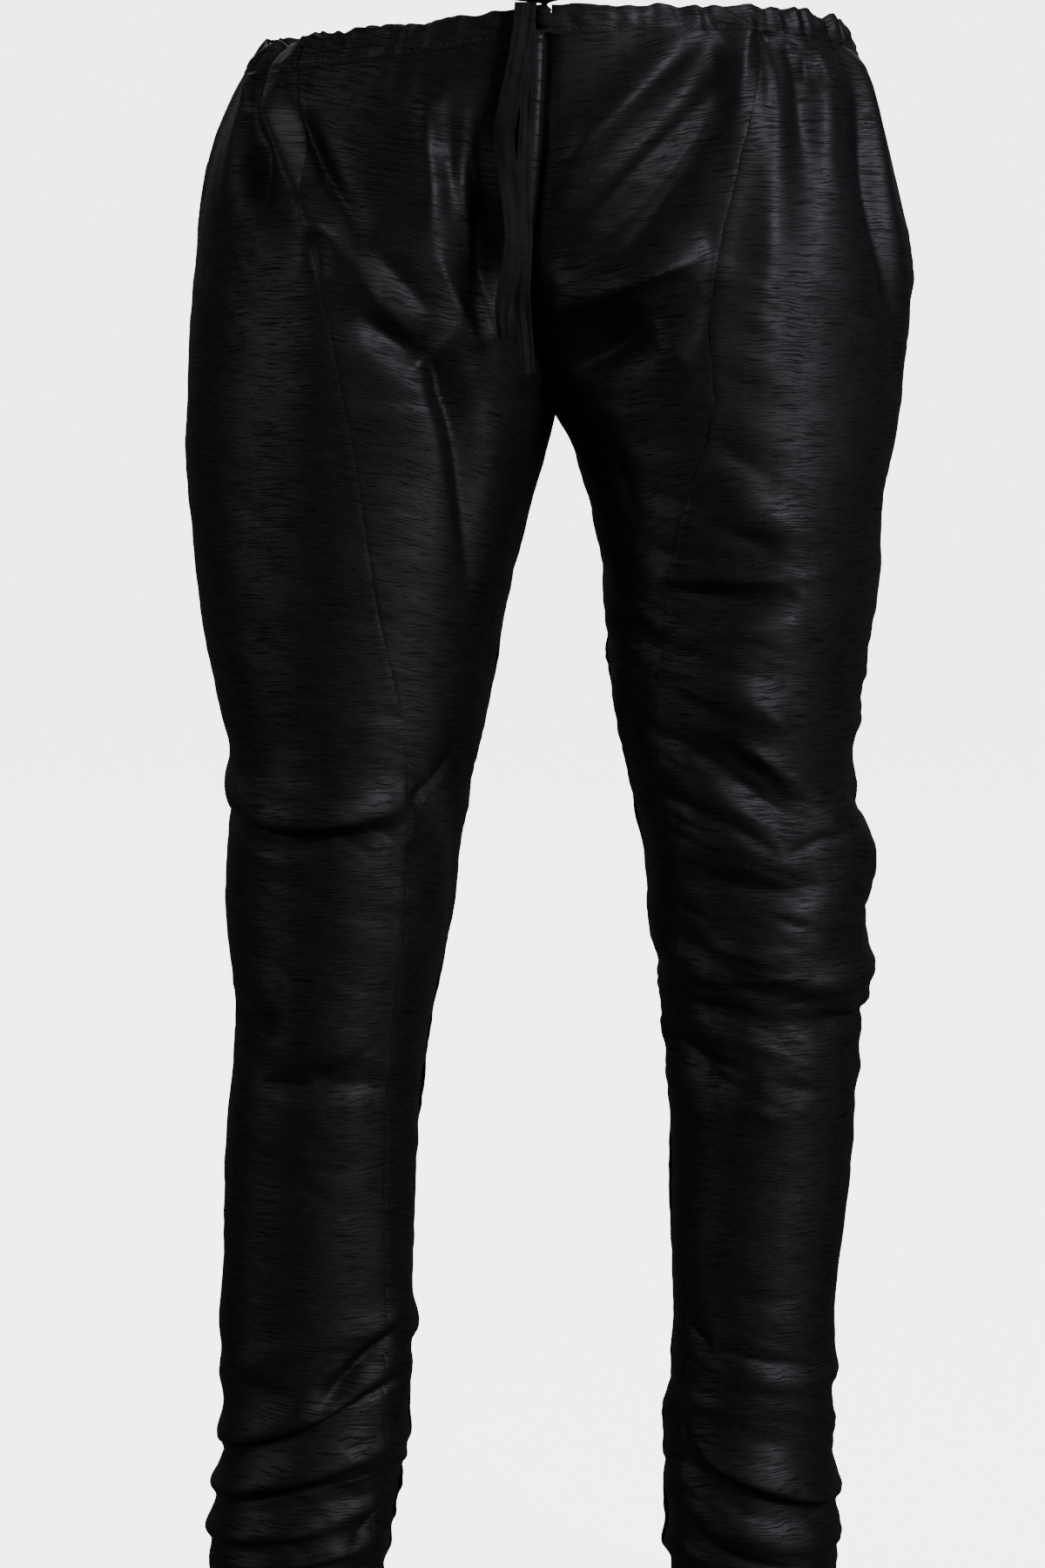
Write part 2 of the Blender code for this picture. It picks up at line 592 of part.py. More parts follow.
def casing_half(leg):
    """Outer and inner points of the casing round one half of the waist, from the front to the back."""
    turn = np.linspace(CASING_SLIT, 1.0, GATHERS * GATHER_COLUMNS + 1)
    phase = math.tau * GATHERS * turn + GATHER_DRIFT * np.sin(math.tau * GATHER_DRIFTS * turn)
    wave = np.cos(phase) * ease(CASING_SLIT, CALM_FROM_SLIT, turn) * ease(1.0, 1.0 - CALM_FROM_SLIT, turn)
    rim = column(leg.rim, "height", turn)
    depth = column(leg.rim, "casing", turn)
    outer, inner = [], []
    for row in range(CASING_ROWS + 1):
        down = row / CASING_ROWS
        height = rim - depth * down
        place = folded_form(leg, turn, height)
        normal = wall_normals(leg, turn, height)
        gather = GATHER_RISE * wave * (1.0 - down) ** 0.5
        place = place + normal * (CASING_PROUD + gather)[:, None]
        place[..., 2] += SCALLOP * wave * (1.0 - down)
        outer.append(place)
        inner.append(place - normal * CASING_CLOTH)
    return np.array(outer), np.array(inner)


def casing(cloth):
    """The casing: one band from the slit at the centre front, round the back, to the slit again."""
    right_outer, right_inner = casing_half(RIGHT)
    left_outer, left_inner = casing_half(LEFT)
    outer = np.concatenate([right_outer[:, :-1], left_outer[:, ::-1]], axis=1)
    inner = np.concatenate([right_inner[:, :-1], left_inner[:, ::-1]], axis=1)
    return solid("waist_casing", outer, inner, cloth)


def knot(cloth):
    """The drawstring's knot: ovals stacked up from the slit, closed at both ends."""
    points, faces = [], []
    for bead in KNOT:
        for side in range(KNOT_SIDES):
            angle = math.tau * side / KNOT_SIDES
            x = bead.across + bead.half_width * math.cos(angle)
            y = KNOT_FORWARD - bead.half_depth * math.sin(angle)
            points.append((x, y, bead.height))
    for ring in range(len(KNOT) - 1):
        for side in range(KNOT_SIDES):
            here = ring * KNOT_SIDES + side
            beside = ring * KNOT_SIDES + (side + 1) % KNOT_SIDES
            faces.append((here, beside, beside + KNOT_SIDES, here + KNOT_SIDES))
    faces.append(tuple(reversed(range(KNOT_SIDES))))
    faces.append(tuple(range(len(points) - KNOT_SIDES, len(points))))
    return finish("drawstring_knot", np.array(points), faces, cloth)


def free_end(name, rows, cloth):
    """A free end of the drawstring: a flat strip that hangs from the knot, turned a little on its way."""
    height = np.linspace(rows[0].height, rows[-1].height, STRIP_STEPS)
    middle = np.stack([column(rows, "across", height), column(rows, "forward", height), height], axis=1)
    twist = np.radians(column(rows, "twist", height))
    half = column(rows, "width", height)[:, None] / 2.0
    across = np.stack([np.cos(twist), np.sin(twist), np.zeros(len(twist))], axis=1) * half
    out = np.stack([np.sin(twist), -np.cos(twist), np.zeros(len(twist))], axis=1) * STRIP_THICKNESS / 2.0
    outer = np.stack([middle - across + out, middle + across + out], axis=1)
    inner = np.stack([middle - across - out, middle + across - out], axis=1)
    return solid(name, outer, inner, cloth)


def main():
    for thing in list(bpy.data.objects):
        bpy.data.objects.remove(thing)
    cloth = material()
    leg_pieces(RIGHT, cloth)
    leg_pieces(LEFT, cloth)
    casing(cloth)
    knot(cloth)
    free_end("drawstring_long_end", LONG_END, cloth)
    free_end("drawstring_short_end", SHORT_END, cloth)


main()
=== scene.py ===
"""Dressed churidar: the silk, its folds and gathers, its seams and its drawstring.

Metres, +Z up, the front faces -Y and the wearer's left leg is at +X, as in the part's own source.
`turn` runs round a leg from the centre front (0) by the outer side (0.5) to the centre back (1), `height`
runs down it from the drawstring, and `bearing` is the angle round the leg: 0 at the outer side, -90 at the
front, 90 at the back and 180 at the inseam.
"""
import math
from collections import namedtuple

import bpy
import numpy as np
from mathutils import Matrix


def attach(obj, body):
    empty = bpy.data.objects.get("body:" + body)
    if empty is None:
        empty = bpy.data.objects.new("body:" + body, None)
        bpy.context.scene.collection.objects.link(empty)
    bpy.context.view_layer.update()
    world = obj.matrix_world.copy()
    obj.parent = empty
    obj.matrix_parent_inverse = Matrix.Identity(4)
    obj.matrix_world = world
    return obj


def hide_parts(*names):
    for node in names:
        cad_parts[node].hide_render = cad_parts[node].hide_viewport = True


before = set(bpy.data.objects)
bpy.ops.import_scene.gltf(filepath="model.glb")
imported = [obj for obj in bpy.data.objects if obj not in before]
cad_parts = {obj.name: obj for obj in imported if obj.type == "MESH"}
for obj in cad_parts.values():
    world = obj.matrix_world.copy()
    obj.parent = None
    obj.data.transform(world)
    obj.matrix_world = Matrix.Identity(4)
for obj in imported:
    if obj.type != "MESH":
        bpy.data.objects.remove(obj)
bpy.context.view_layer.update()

# Cloth, sewing and the lengths down the garment, as in the part's source
SEAM_GAP = 0.0003
CASING_PROUD = 0.0006
HEM_HEIGHT = -1.020
CROTCH_HEIGHT = -0.228
EVEN_BELOW_WAIST = -0.110
BODY_FORM_ENDS = -0.020
LEG_FORM_STARTS = -0.205
LEVEL_EDGE_ABOVE = -0.020
LEVEL_EDGE_BELOW = -0.070
HEM_TURNING = 0.012
SEAM_HOLD = 0.04
CASING_SLIT = 0.004
CALM_FROM_SLIT = 0.18
RING_STEPS = 33
GIRTH_LEVELS = 40
GIRTH_BELOW_HEM = 0.01
GIRTH_TOP = 0.03
TURN_STEP = 0.002
HEIGHT_STEP = 0.001
TINY = 1e-6

# The silk as it is shown
SILK = 0.0008
HEM_SILK = 0.0016
HEM_STEP_REACH = 0.002
HEM_ROUND = 0.0006
HEM_ROUND_REACH = 0.0012
SEAM_STEP = 0.0003
SEAM_STEP_REACH = 0.007
SEAM_GROOVE = 0.0002
SEAM_GROOVE_REACH = 0.0010
SEAM_OVERLAP = 0.0003
SEAM_OVERLAP_REACH = 0.002
TUCK = 0.0016
SLIT_DEPTH = 0.004
SLIT_FULL_FROM = -0.180
SLIT_REACH = 0.0040
NARROW_SLIT_REACH = 0.0012
CENTRE_REACH = 0.012
PUCKER = 0.0003
PUCKER_REACH = 0.012
CASING_THICKNESS = 0.0030
CASING_BULGE = 0.0010
CASING_FULL_TO = 0.84
CASING_ROUNDNESS = 0.7
CASING_STITCHES = 0.86
CASING_STITCH_REACH = 0.05
CASING_STITCH_DEPTH = 0.0007
DENT_DEPTH = 0.0009
SMALL_DENT_DEPTH = 0.0007
DENTS_LOST_BELOW = 0.8
CUSP = 0.0010
CUSP_FALL = 1.2
RIM_THICKNESS = 0.25
RIM_REACH = 0.25
CASING_THINS_FROM = 0.8
CASING_THINNED = 0.55
GATHER_RISE = 0.0016
GATHER_SHARE = 0.60
GATHER_SHARE_WHERE_FULL = 0.25
GATHER_EVEN = 0.55
GATHER_UNEVEN = 0.45
WIDE_GATHER_SHARE = 1.1
NARROW_GATHER_SHARE = 0.8
SCALLOP = 0.0030
GATHER_FALL = 0.022
GATHER_FALL_UNEVEN = 0.8
ROLL_FULLNESS = 0.62
ROLL_UNEVEN = 0.38
CALM = 0.22
SOFT_WAVE = 0.0016
SHARP_SHARE = 0.7
BEND = 0.012
SHORT_WAVE = 0.0012
WAVE_SLANT = 0.30
CRISP = 0.45
FINE_WAVE = 0.00022
REACHES = 5.0
PATH_STEPS = 13
SETTLE_STEPS = 4
SHARP_DEGREES = 55.0

# Columns across each piece and rows down it
SIDE_PANEL_COLUMNS = 140
FRONT_GUSSET_COLUMNS = 72
BACK_GUSSET_COLUMNS = 44
CASING_COLUMNS = 560
CASING_ROWS = 12
WAIST_ROWS = 60
EDGE_SHARES = (0.0, 0.0035, 0.008, 0.014)
STRIP_STEPS = 161
STRIP_COLUMNS = 19
STRIP_THICKNESS = 0.0014
STRIP_CRUSH = 0.0006
STRIP_FOLD = 0.0003
STRIP_SWAY = 0.0006
STRIP_EDGE = 0.55
STRIP_RIDGE = 0.4
STRIP_RIDGE_REACH = 0.20
STRIP_HOLLOW = -0.3
STRIP_HOLLOW_REACH = 0.16
KNOT_ROWS = 60
KNOT_COLUMNS = 40
KNOT_WRAPS = 3
KNOT_GROOVE = 0.22
KNOT_PITCH = 0.030
KNOT_SLANT = 2.0
KNOT_ROUND_END = 0.06
KNOT_TIP = 0.02
KNOT_LEAST = 0.0005
KNOT_WEAVE = 0.008
KNOT_FORWARD = -0.1176
STITCH_SPACING = 0.0040
STITCH_LENGTH = 0.0027
STITCH_THICKNESS = 0.00022
STITCH_SIDES = 6
CASING_STITCH_ENDS = (0.008, 0.998)
CASING_STITCH_SUNK = 0.0002
HEM_STITCH_STEPS = 240
HEM_STITCH_SHARE = 0.85
HEM_STITCH_RISE = 0.0008
GUSSET_WEFT = 10.0
FLOOR_HEIGHT = -1.030
FLOOR_RADIUS = 12.0
COVE = 3.0
COVE_STEPS = 16
WALL_TOP = 12.0
BACKDROP_SIDES = 96
BACKDROP_GLOW = 4.4
BACKDROP_FIBRE = 3.0
ROOM_LIGHT = 0.06
LATTICE = 256

# The photograph's view
CAMERA_PLACE = (-0.0275, -2.6, -0.2025)
CAMERA_TILT = 5.798
LENS = 94.545
SENSOR = 36.0

# The silk's weave: noise by its scale, or by its scales across and down the cloth
WANDER_SCALE = 22.0
WANDER = 0.007
DASHES = (38.0, 1150.0, 1.0)
SHORT_DASHES = (95.0, 1400.0, 1.0)
STREAKS = (70.0, 1300.0, 1.0)
CROWDING_SCALE = 14.0
CLOUD_SCALE = 38.0
SLUB_CROWDING = 0.16
SLUB_EDGE = (0.66, 0.74)
NUB_CROWDING = 0.12
NUB_EDGE = (0.70, 0.78)
NUB_SHARE = 0.6
STREAK_EDGE = (0.42, 0.62)
# How strongly painted shade darkens the dashes of thick threads
SLUB_PAINTED_SHADE = 0.60
SLUB_METAL = 0.45
STREAK_METAL = 0.15
CLOUD_ROUGHNESS = 0.10
SLUB_ROUGHNESS = 0.12
STREAK_RELIEF = 0.6
SLUB_RELIEF = 0.8
CLOUD_RELIEF = 0.5
RELIEF_DEPTH = 0.0005
THREAD_FIBRE = 900.0
THREAD_DARK = (0.006, 0.006, 0.007, 1.0)
THREAD_PALE = (0.016, 0.016, 0.018, 1.0)
PAPER_DARK = (0.80, 0.80, 0.81, 1.0)
PAPER_PALE = (0.84, 0.84, 0.845, 1.0)

Section = namedtuple("Section", "height outer inner front back")
Body = namedtuple("Body", "height centre front back cut")
Rim = namedtuple("Rim", "turn height casing")
Seam = namedtuple("Seam", "height bearing")
PATH = "bearing_1 height_1 bearing_2 height_2 bearing_3 height_3 "
Fold = namedtuple("Fold", PATH + "width rise fullest lean", defaults=(0.5, 0.0))
Lip = namedtuple("Lip", PATH + "width rise droop fullest lean", defaults=(0.0,))
Roll = namedtuple("Roll", "height tilt low_bearing width rise droop flat_bearing")
Rest = namedtuple("Rest", "height reach amount")
Band = namedtuple("Band", "bottom rows")
Bead = namedtuple("Bead", "height across half_width half_depth")
Strip = namedtuple("Strip", "height across forward width twist")
Wave = namedtuple("Wave", "across down seed")
Lamp = namedtuple("Lamp", "name place aim size power colour")
PARTS = "sections rim front_seam back_seam folds rolls creases lips small_rolls unrest"
Leg = namedtuple("Leg", "name sign " + PARTS)
NOT_LENGTHS = ("bearing_1 bearing_2 bearing_3 fullest lean turn bearing cut low_bearing flat_bearing"
               " amount twist").split()

# Uneven waves in the cloth: how far apart they are, across and down, and the seed of each
SWELLS = Wave(0.075, 0.055, 40)
BENDS = Wave(0.06, 0.08, 42)
LONG_WAVES = Wave(0.055, 0.016, 44)
SHARP_WAVES = Wave(0.040, 0.009, 46)
FINE_WAVES = Wave(0.016, 0.006, 48)
PUCKERS = Wave(0.008, 0.03, 0)
CASING_DENTS = Wave(0.010, 0.007, 71)
SMALL_DENTS = Wave(0.005, 0.004, 73)
CUSPS = Wave(0.007, 1.0, 75)
GATHER_STRENGTHS = Wave(0.070, 1.0, 91)
WIDE_GATHERS = Wave(0.023, 1.0, 92)
NARROW_GATHERS = Wave(0.010, 1.0, 93)
GATHER_FALLS = Wave(0.03, 1.0, 95)
STRIP_CRUSHES = Wave(0.0060, 0.016, 0)
SMALL_CRUSHES = Wave(0.0045, 0.007, 1)
STRIP_SWAYS = Wave(0.014, 1.0, 2)
STRIP_FOLDS = Wave(0.030, 1.0, 3)

LAMPS = (
    Lamp("right_lamp", (1.62, -1.72, 0.60), (0.12, 0.0, -0.12), (0.9, 0.9), 66.0, (0.92, 0.92, 1.0)),
    Lamp("left_lamp", (-2.4, -1.1, 0.25), (-0.1, 0.0, -0.2), (1.2, 1.0), 15.0, (1.0, 1.0, 1.0)),
    Lamp("front_lamp", (0.7, -3.0, 0.9), (0.0, 0.0, -0.2), (1.6, 1.2), 3.0, (1.0, 1.0, 1.0)),
    Lamp("back_lamp", (0.0, 2.8, 2.6), (0.0, 0.0, -0.4), (3.6, 2.2), 90.0, (1.0, 1.0, 1.0)),
)


def table(kind, *rows):
    """Rows of one kind. Their lengths are written in millimetres and come out in metres."""
    units = [1.0 if name in NOT_LENGTHS else 1000.0 for name in kind._fields]
    return tuple(kind(*(value / unit for value, unit in zip(row, units))) for row in rows)


# The body of the garment: where its centre seams lie, its depth before and behind them, and how many
# degrees of a leg's oval they cut off, before and behind, down to nothing at the crotch
BODY = table(
    Body,
    (30, -12, -108, 112, 52), (0, -13, -114, 118, 50), (-50, -15, -121, 125, 48),
    (-100, -18, -124, 131, 45), (-145, -22, -122, 134, 39), (-190, -18, -117, 132, 28),
    (-215, -11, -113, 128, 15), (-228, -8, -110, 126, 0),
)

# The leg tubes, seen from the front and the side. Their inner sides are free only below the crotch.
RIGHT_SECTIONS = table(
    Section,
    (30, -172, -8, -110, 112), (0, -184, -8, -114, 118), (-30, -201, -8, -118, 122),
    (-75, -220, -8, -121, 127), (-140, -231, -8, -120, 130), (-200, -237, -8, -114, 124),
    (-228, -239, -8, -111, 119), (-245, -240, -10, -109, 115), (-280, -238, -19, -106, 109),
    (-345, -232, -36, -99, 98), (-411, -221, -48, -91, 84), (-452, -212, -57, -86, 76),
    (-494, -216, -65, -82, 73), (-560, -215, -75, -74, 79), (-612, -211, -86, -68, 84),
    (-679, -217, -94, -61, 80), (-747, -220, -97, -55, 71), (-816, -222, -99, -52, 62),
    (-884, -218, -103, -52, 55), (-940, -225, -112, -53, 51), (-1030, -224, -127, -52, 47),
)
LEFT_SECTIONS = table(
    Section,
    (30, 166, -8, -110, 112), (0, 176, -8, -114, 118), (-30, 191, -8, -118, 122), (-75, 204, -8, -121, 127),
    (-140, 217, -8, -120, 130), (-200, 213, -8, -114, 124), (-228, 211, -8, -111, 119),
    (-245, 208, 1, -109, 115), (-280, 201, 13, -106, 109), (-345, 197, 24, -99, 98),
    (-411, 188, 29, -91, 84), (-461, 183, 39, -85, 76), (-494, 190, 46, -82, 73), (-560, 193, 56, -74, 79),
    (-612, 189, 61, -68, 84), (-679, 185, 66, -61, 80), (-747, 180, 67, -55, 71), (-816, 172, 70, -52, 62),
    (-884, 172, 66, -52, 55), (-940, 173, 67, -53, 51), (-1030, 174, 78, -52, 47),
)

# The top edge of the casing round each half of the waist, and how far down its stitching lies
RIGHT_RIM = table(
    Rim,
    (0, 12, 18), (0.18, 1, 20), (0.35, -5, 20), (0.5, -3, 18), (0.75, 14, 18), (1, 22, 18),
)
LEFT_RIM = table(
    Rim,
    (0, 12, 18), (0.2, 13, 15), (0.38, 11.5, 16), (0.5, 8, 18), (0.75, 15, 18), (1, 22, 18),
)

# The long seams that join a leg's side panel to its two gussets, by bearing round the leg in degrees:
# 0 is the outer side, -90 the front, 90 the back and 180 the inseam
RIGHT_FRONT_SEAM = table(
    Seam,
    (0, -46), (-50, -59), (-110, -69), (-230, -85), (-350, -101), (-470, -121), (-600, -131), (-800, -137),
    (-1030, -148),
)
LEFT_FRONT_SEAM = table(
    Seam,
    (0, -70), (-50, -79), (-110, -87), (-230, -98), (-320, -121), (-400, -131), (-500, -142), (-650, -151),
    (-1030, -146),
)
BACK_SEAM = table(Seam, (0, 66), (-230, 92), (-400, 120), (-600, 140), (-1030, 148))

# Folds, each a line through three places (bearing, height): ridges rise, troughs fall
RIGHT_FOLDS = table(
    Fold,
    (-34, -10, -52, -55, -88, -150, 13, 8, 0.25, 0.2), (-54, -45, -67, -85, -90, -135, 13, -8, 0.4),
    (-46, -55, -47, -84, -55, -115, 12, -8), (-18, -8, -27, -45, -34, -110, 11, 6, 0.1),
    (-27, -8, -38, -45, -42, -100, 9, -5, 0.1), (-103, -30, -106, -78, -109, -135, 11, 5),
    (-111, -55, -118, -120, -129, -185, 14, -11, 0.6), (-86, -168, -99, -188, -111, -200, 12, -7, 0.6),
    (-109, -195, -122, -245, -138, -350, 14, -10, 0.2), (-66, -95, -72, -160, -76, -300, 20, 5, 0.3),
    (5, -449, -58, -474, -126, -466, 11, 9, 0.4), (5, -465, -58, -491, -126, -483, 10, -7, 0.4),
    (-10, -600, -40, -609, -66, -609, 12, -5, 0.3), (-45, -649, -90, -647, -132, -646, 11, -4),
    (20, -470, 70, -500, 130, -495, 14, -6), (30, -430, 90, -455, 150, -440, 16, 6),
    (20, -540, 80, -560, 150, -545, 14, -5), (8, -10, 4, -60, 0, -160, 12, 6, 0),
    (36, -6, 30, -60, 26, -150, 13, -6, 0), (58, -4, 56, -60, 60, -170, 14, 7, 0),
    (80, -2, 84, -50, 90, -130, 12, -5, 0), (100, 0, 106, -60, 116, -150, 12, 5, 0),
    (60, -205, 100, -235, 140, -215, 16, -7, 0.6),
)
LEFT_FOLDS = table(
    Fold,
    (-74, 4, -80, -30, -85, -110, 13, 7, 0.1, 0.2), (-84, -10, -107, -70, -140, -158, 14, -11, 0.4),
    (-84, 0, -107, -35, -136, -115, 12, 6, 0.3), (-155, -180, -118, -150, -92, -138, 12, 9, 0.6, 0.3),
    (-154, -206, -126, -188, -108, -172, 17, -10), (-64, -8, -74, -88, -76, -230, 13, 5, 0.2),
    (-54, -10, -62, -60, -60, -120, 12, -4, 0.2), (-46, -10, -54, -75, -52, -170, 14, 3, 0.3),
    (-40, -40, -33, -125, -18, -210, 14, -7), (-22, -8, -26, -70, -22, -150, 12, 6, 0.1),
    (-128, -334, -97, -345, -68, -343, 12, -5), (-104, -286, -78, -302, -48, -310, 13, 4),
    (-118, -385, -92, -408, -50, -424, 14, 5), (-118, -436, -89, -460, -52, -494, 14, -6),
    (-62, -466, -18, -505, 20, -520, 16, 6, 0.6), (-136, -504, -98, -526, -46, -518, 13, -5),
    (-130, -548, -98, -562, -50, -555, 13, 5), (10, -572, -42, -586, -96, -598, 12, 7, 0.3),
    (10, -598, -42, -606, -100, -614, 11, -7, 0.4), (-175, -618, -134, -632, -92, -646, 13, -5),
    (20, -480, 75, -505, 140, -490, 14, -6), (30, -440, 90, -462, 150, -450, 16, 6),
    (25, -550, 80, -575, 145, -560, 14, -5), (10, -8, 6, -60, 2, -150, 13, -5, 0),
    (34, -6, 30, -60, 28, -170, 13, 6, 0), (60, -4, 60, -55, 64, -150, 13, -6, 0),
    (84, -2, 88, -60, 96, -160, 13, 6, 0), (58, -200, 98, -230, 138, -212, 16, -7, 0.6),
)

# Rolls of spare length pushed up round the ankles, each a sagging ring that is flattest at one bearing
RIGHT_ROLLS = table(
    Roll,
    (-826, 20, 30, 9, 5, 4, -60), (-862, 20, 10, 10, 6, 5, 170), (-897, 14, 0, 10, 8, 6, 120),
    (-930, 10, -10, 10, 7, 6, 160), (-962, 8, 60, 9, 6, 5, -120), (-990, 6, 140, 9, 5, 4, 20),
)
LEFT_ROLLS = table(
    Roll,
    (-834, 6, -20, 9, 4, 3, -170), (-868, 12, 60, 10, 5, 4, -60), (-898, 18, 0, 10, 7, 6, -130),
    (-932, 14, -30, 10, 6, 5, 150), (-963, 8, 20, 9, 6, 5, -60), (-991, 6, 120, 9, 5, 4, 100),
)

# Creases too fine for the part's solids: narrow ridges and troughs, each a line through three places
RIGHT_CREASES = table(
    Fold,
    (-32, -11, -55, -61, -72, -109, 5.5, 4, 0.35, 0.2), (-65, -88, -78, -125, -94, -156, 6, 3, 0.4, 0.2),
    (-42, -14, -66, -70, -89, -130, 7, -4.5, 0.55), (-45, -50, -48, -84, -55, -112, 7, -4.5),
    (-14, -12, -30, -38, -37, -66, 6, 3.2, 0.3), (-34, -16, -42, -39, -46, -62, 5.5, -4, 0.4),
    (-43, -14, -49, -34, -51, -56, 4.5, 2.8, 0.3), (-98, -30, -104, -78, -107, -128, 5, 3, 0.4),
    (-106, -40, -109, -80, -112, -122, 5, -4.5), (-111, -40, -113, -78, -116, -118, 4.5, 2.8),
    (-114, -63, -121, -120, -131, -182, 7, -5), (-108, -128, -116, -161, -126, -194, 5.5, 4, 0.5, 0.2),
    (-87, -172, -99, -188, -112, -198, 5.5, -4.2), (-110, -197, -120, -245, -140, -352, 5, -5.5, 0.15),
    (-106, -200, -115, -250, -134, -340, 6, 2.6, 0.2), (-56, -45, -81, -48, -99, -47, 2.2, -0.9),
    (-110, -227, -97, -224, -86, -228, 2.6, -1.3, 0.4), (-84, -487, -94, -493, -108, -503, 4, -2.2, 0.4),
    (-30, -497, -55, -506, -84, -503, 6, 1.6, 0.4), (-120, -470, -136, -452, -150, -424, 6, -3, 0.2),
    (-50, -648, -84, -649, -112, -634, 3.6, -1.2, 0.6), (-60, -659, -95, -662, -130, -650, 5.5, 0.8),
    (-10, -602, -39, -608, -62, -607, 4.5, -3, 0.25), (-8, -588, -34, -595, -58, -590, 7, 2.2, 0.25),
    (-70, -700, -100, -705, -126, -698, 3, -0.9), (-80, -865, -112, -838, -160, -798, 4.5, -3.8, 0.75),
    (-74, -855, -110, -828, -160, -788, 6, 3, 0.7), (-66, -880, -106, -860, -165, -838, 4.5, -3.6, 0.65),
    (-60, -915, -103, -899, -158, -882, 4.5, -3.4, 0.55), (-8, -937, -90, -921, -178, -914, 4.5, -3.4),
    (-40, -965, -100, -975, -160, -958, 5, -3), (12, -12, 4, -60, -2, -130, 6, 3, 0.1),
    (40, -8, 34, -55, 30, -120, 6, -3.5, 0.15), (52, -6, 50, -60, 54, -140, 6, 3.2, 0.1),
    (74, -4, 78, -50, 86, -110, 5, -3, 0.15), (96, -2, 104, -60, 112, -135, 6, 2.8, 0.1),
    (62, -215, 96, -236, 132, -226, 6, -4), (76, -262, 106, -276, 134, -262, 6, 2.6, 0.4),
    (30, -478, 74, -503, 124, -500, 5, -3.6), (44, -515, 80, -528, 118, -520, 6, 2.6),
    (20, -640, 62, -652, 100, -640, 5, -2.6, 0.4), (40, -862, 84, -850, 130, -822, 4.5, -3.4),
    (10, -896, 60, -902, 120, -880, 4.5, -3.2), (-45, -31, -62, -85, -83, -140, 7.5, 7.5, 0.4, 0.2),
    (-83, -140, -100, -179, -117, -205, 6, 3.4, 0.3), (-57, -45, -69, -88, -88, -130, 8, -6.5, 0.45),
    (-88, -130, -102, -156, -110, -176, 6, -4, 0.4), (-18, -31, -46, -68, -55, -103, 9, -5),
    (-74, -120, -75, -137, -77, -158, 5, -5), (-103, -52, -105, -71, -110, -96, 5.5, -5),
    (-112, -42, -120, -104, -138, -176, 8, -6), (-110, -71, -120, -130, -134, -205, 5, 4.5),
    (-39, -277, -55, -292, -65, -297, 5, -1.4), (-54, -308, -68, -329, -85, -345, 6, -1.8),
    (-44, -352, -59, -372, -66, -399, 6, -1.4), (5, -467, -58, -492, -126, -482, 3.2, -4.2, 0.45),
    (-50, -650, -82, -650, -131, -647, 2.6, -1.8, 0.35),
    (-83, -646, -104, -636, -124, -620, 3.6, -2.2, 0.2), (-94, -869, -127, -848, -180, -844, 4, -3.4),
    (-90, -862, -115, -833, -146, -803, 7, -5), (-2, -935, -88, -908, -177, -893, 3.6, -3.6),
    (-122, -951, -143, -930, -178, -913, 4, -3.4), (-2, -896, -55, -882, -95, -871, 4, -3.4, 0.35),
)
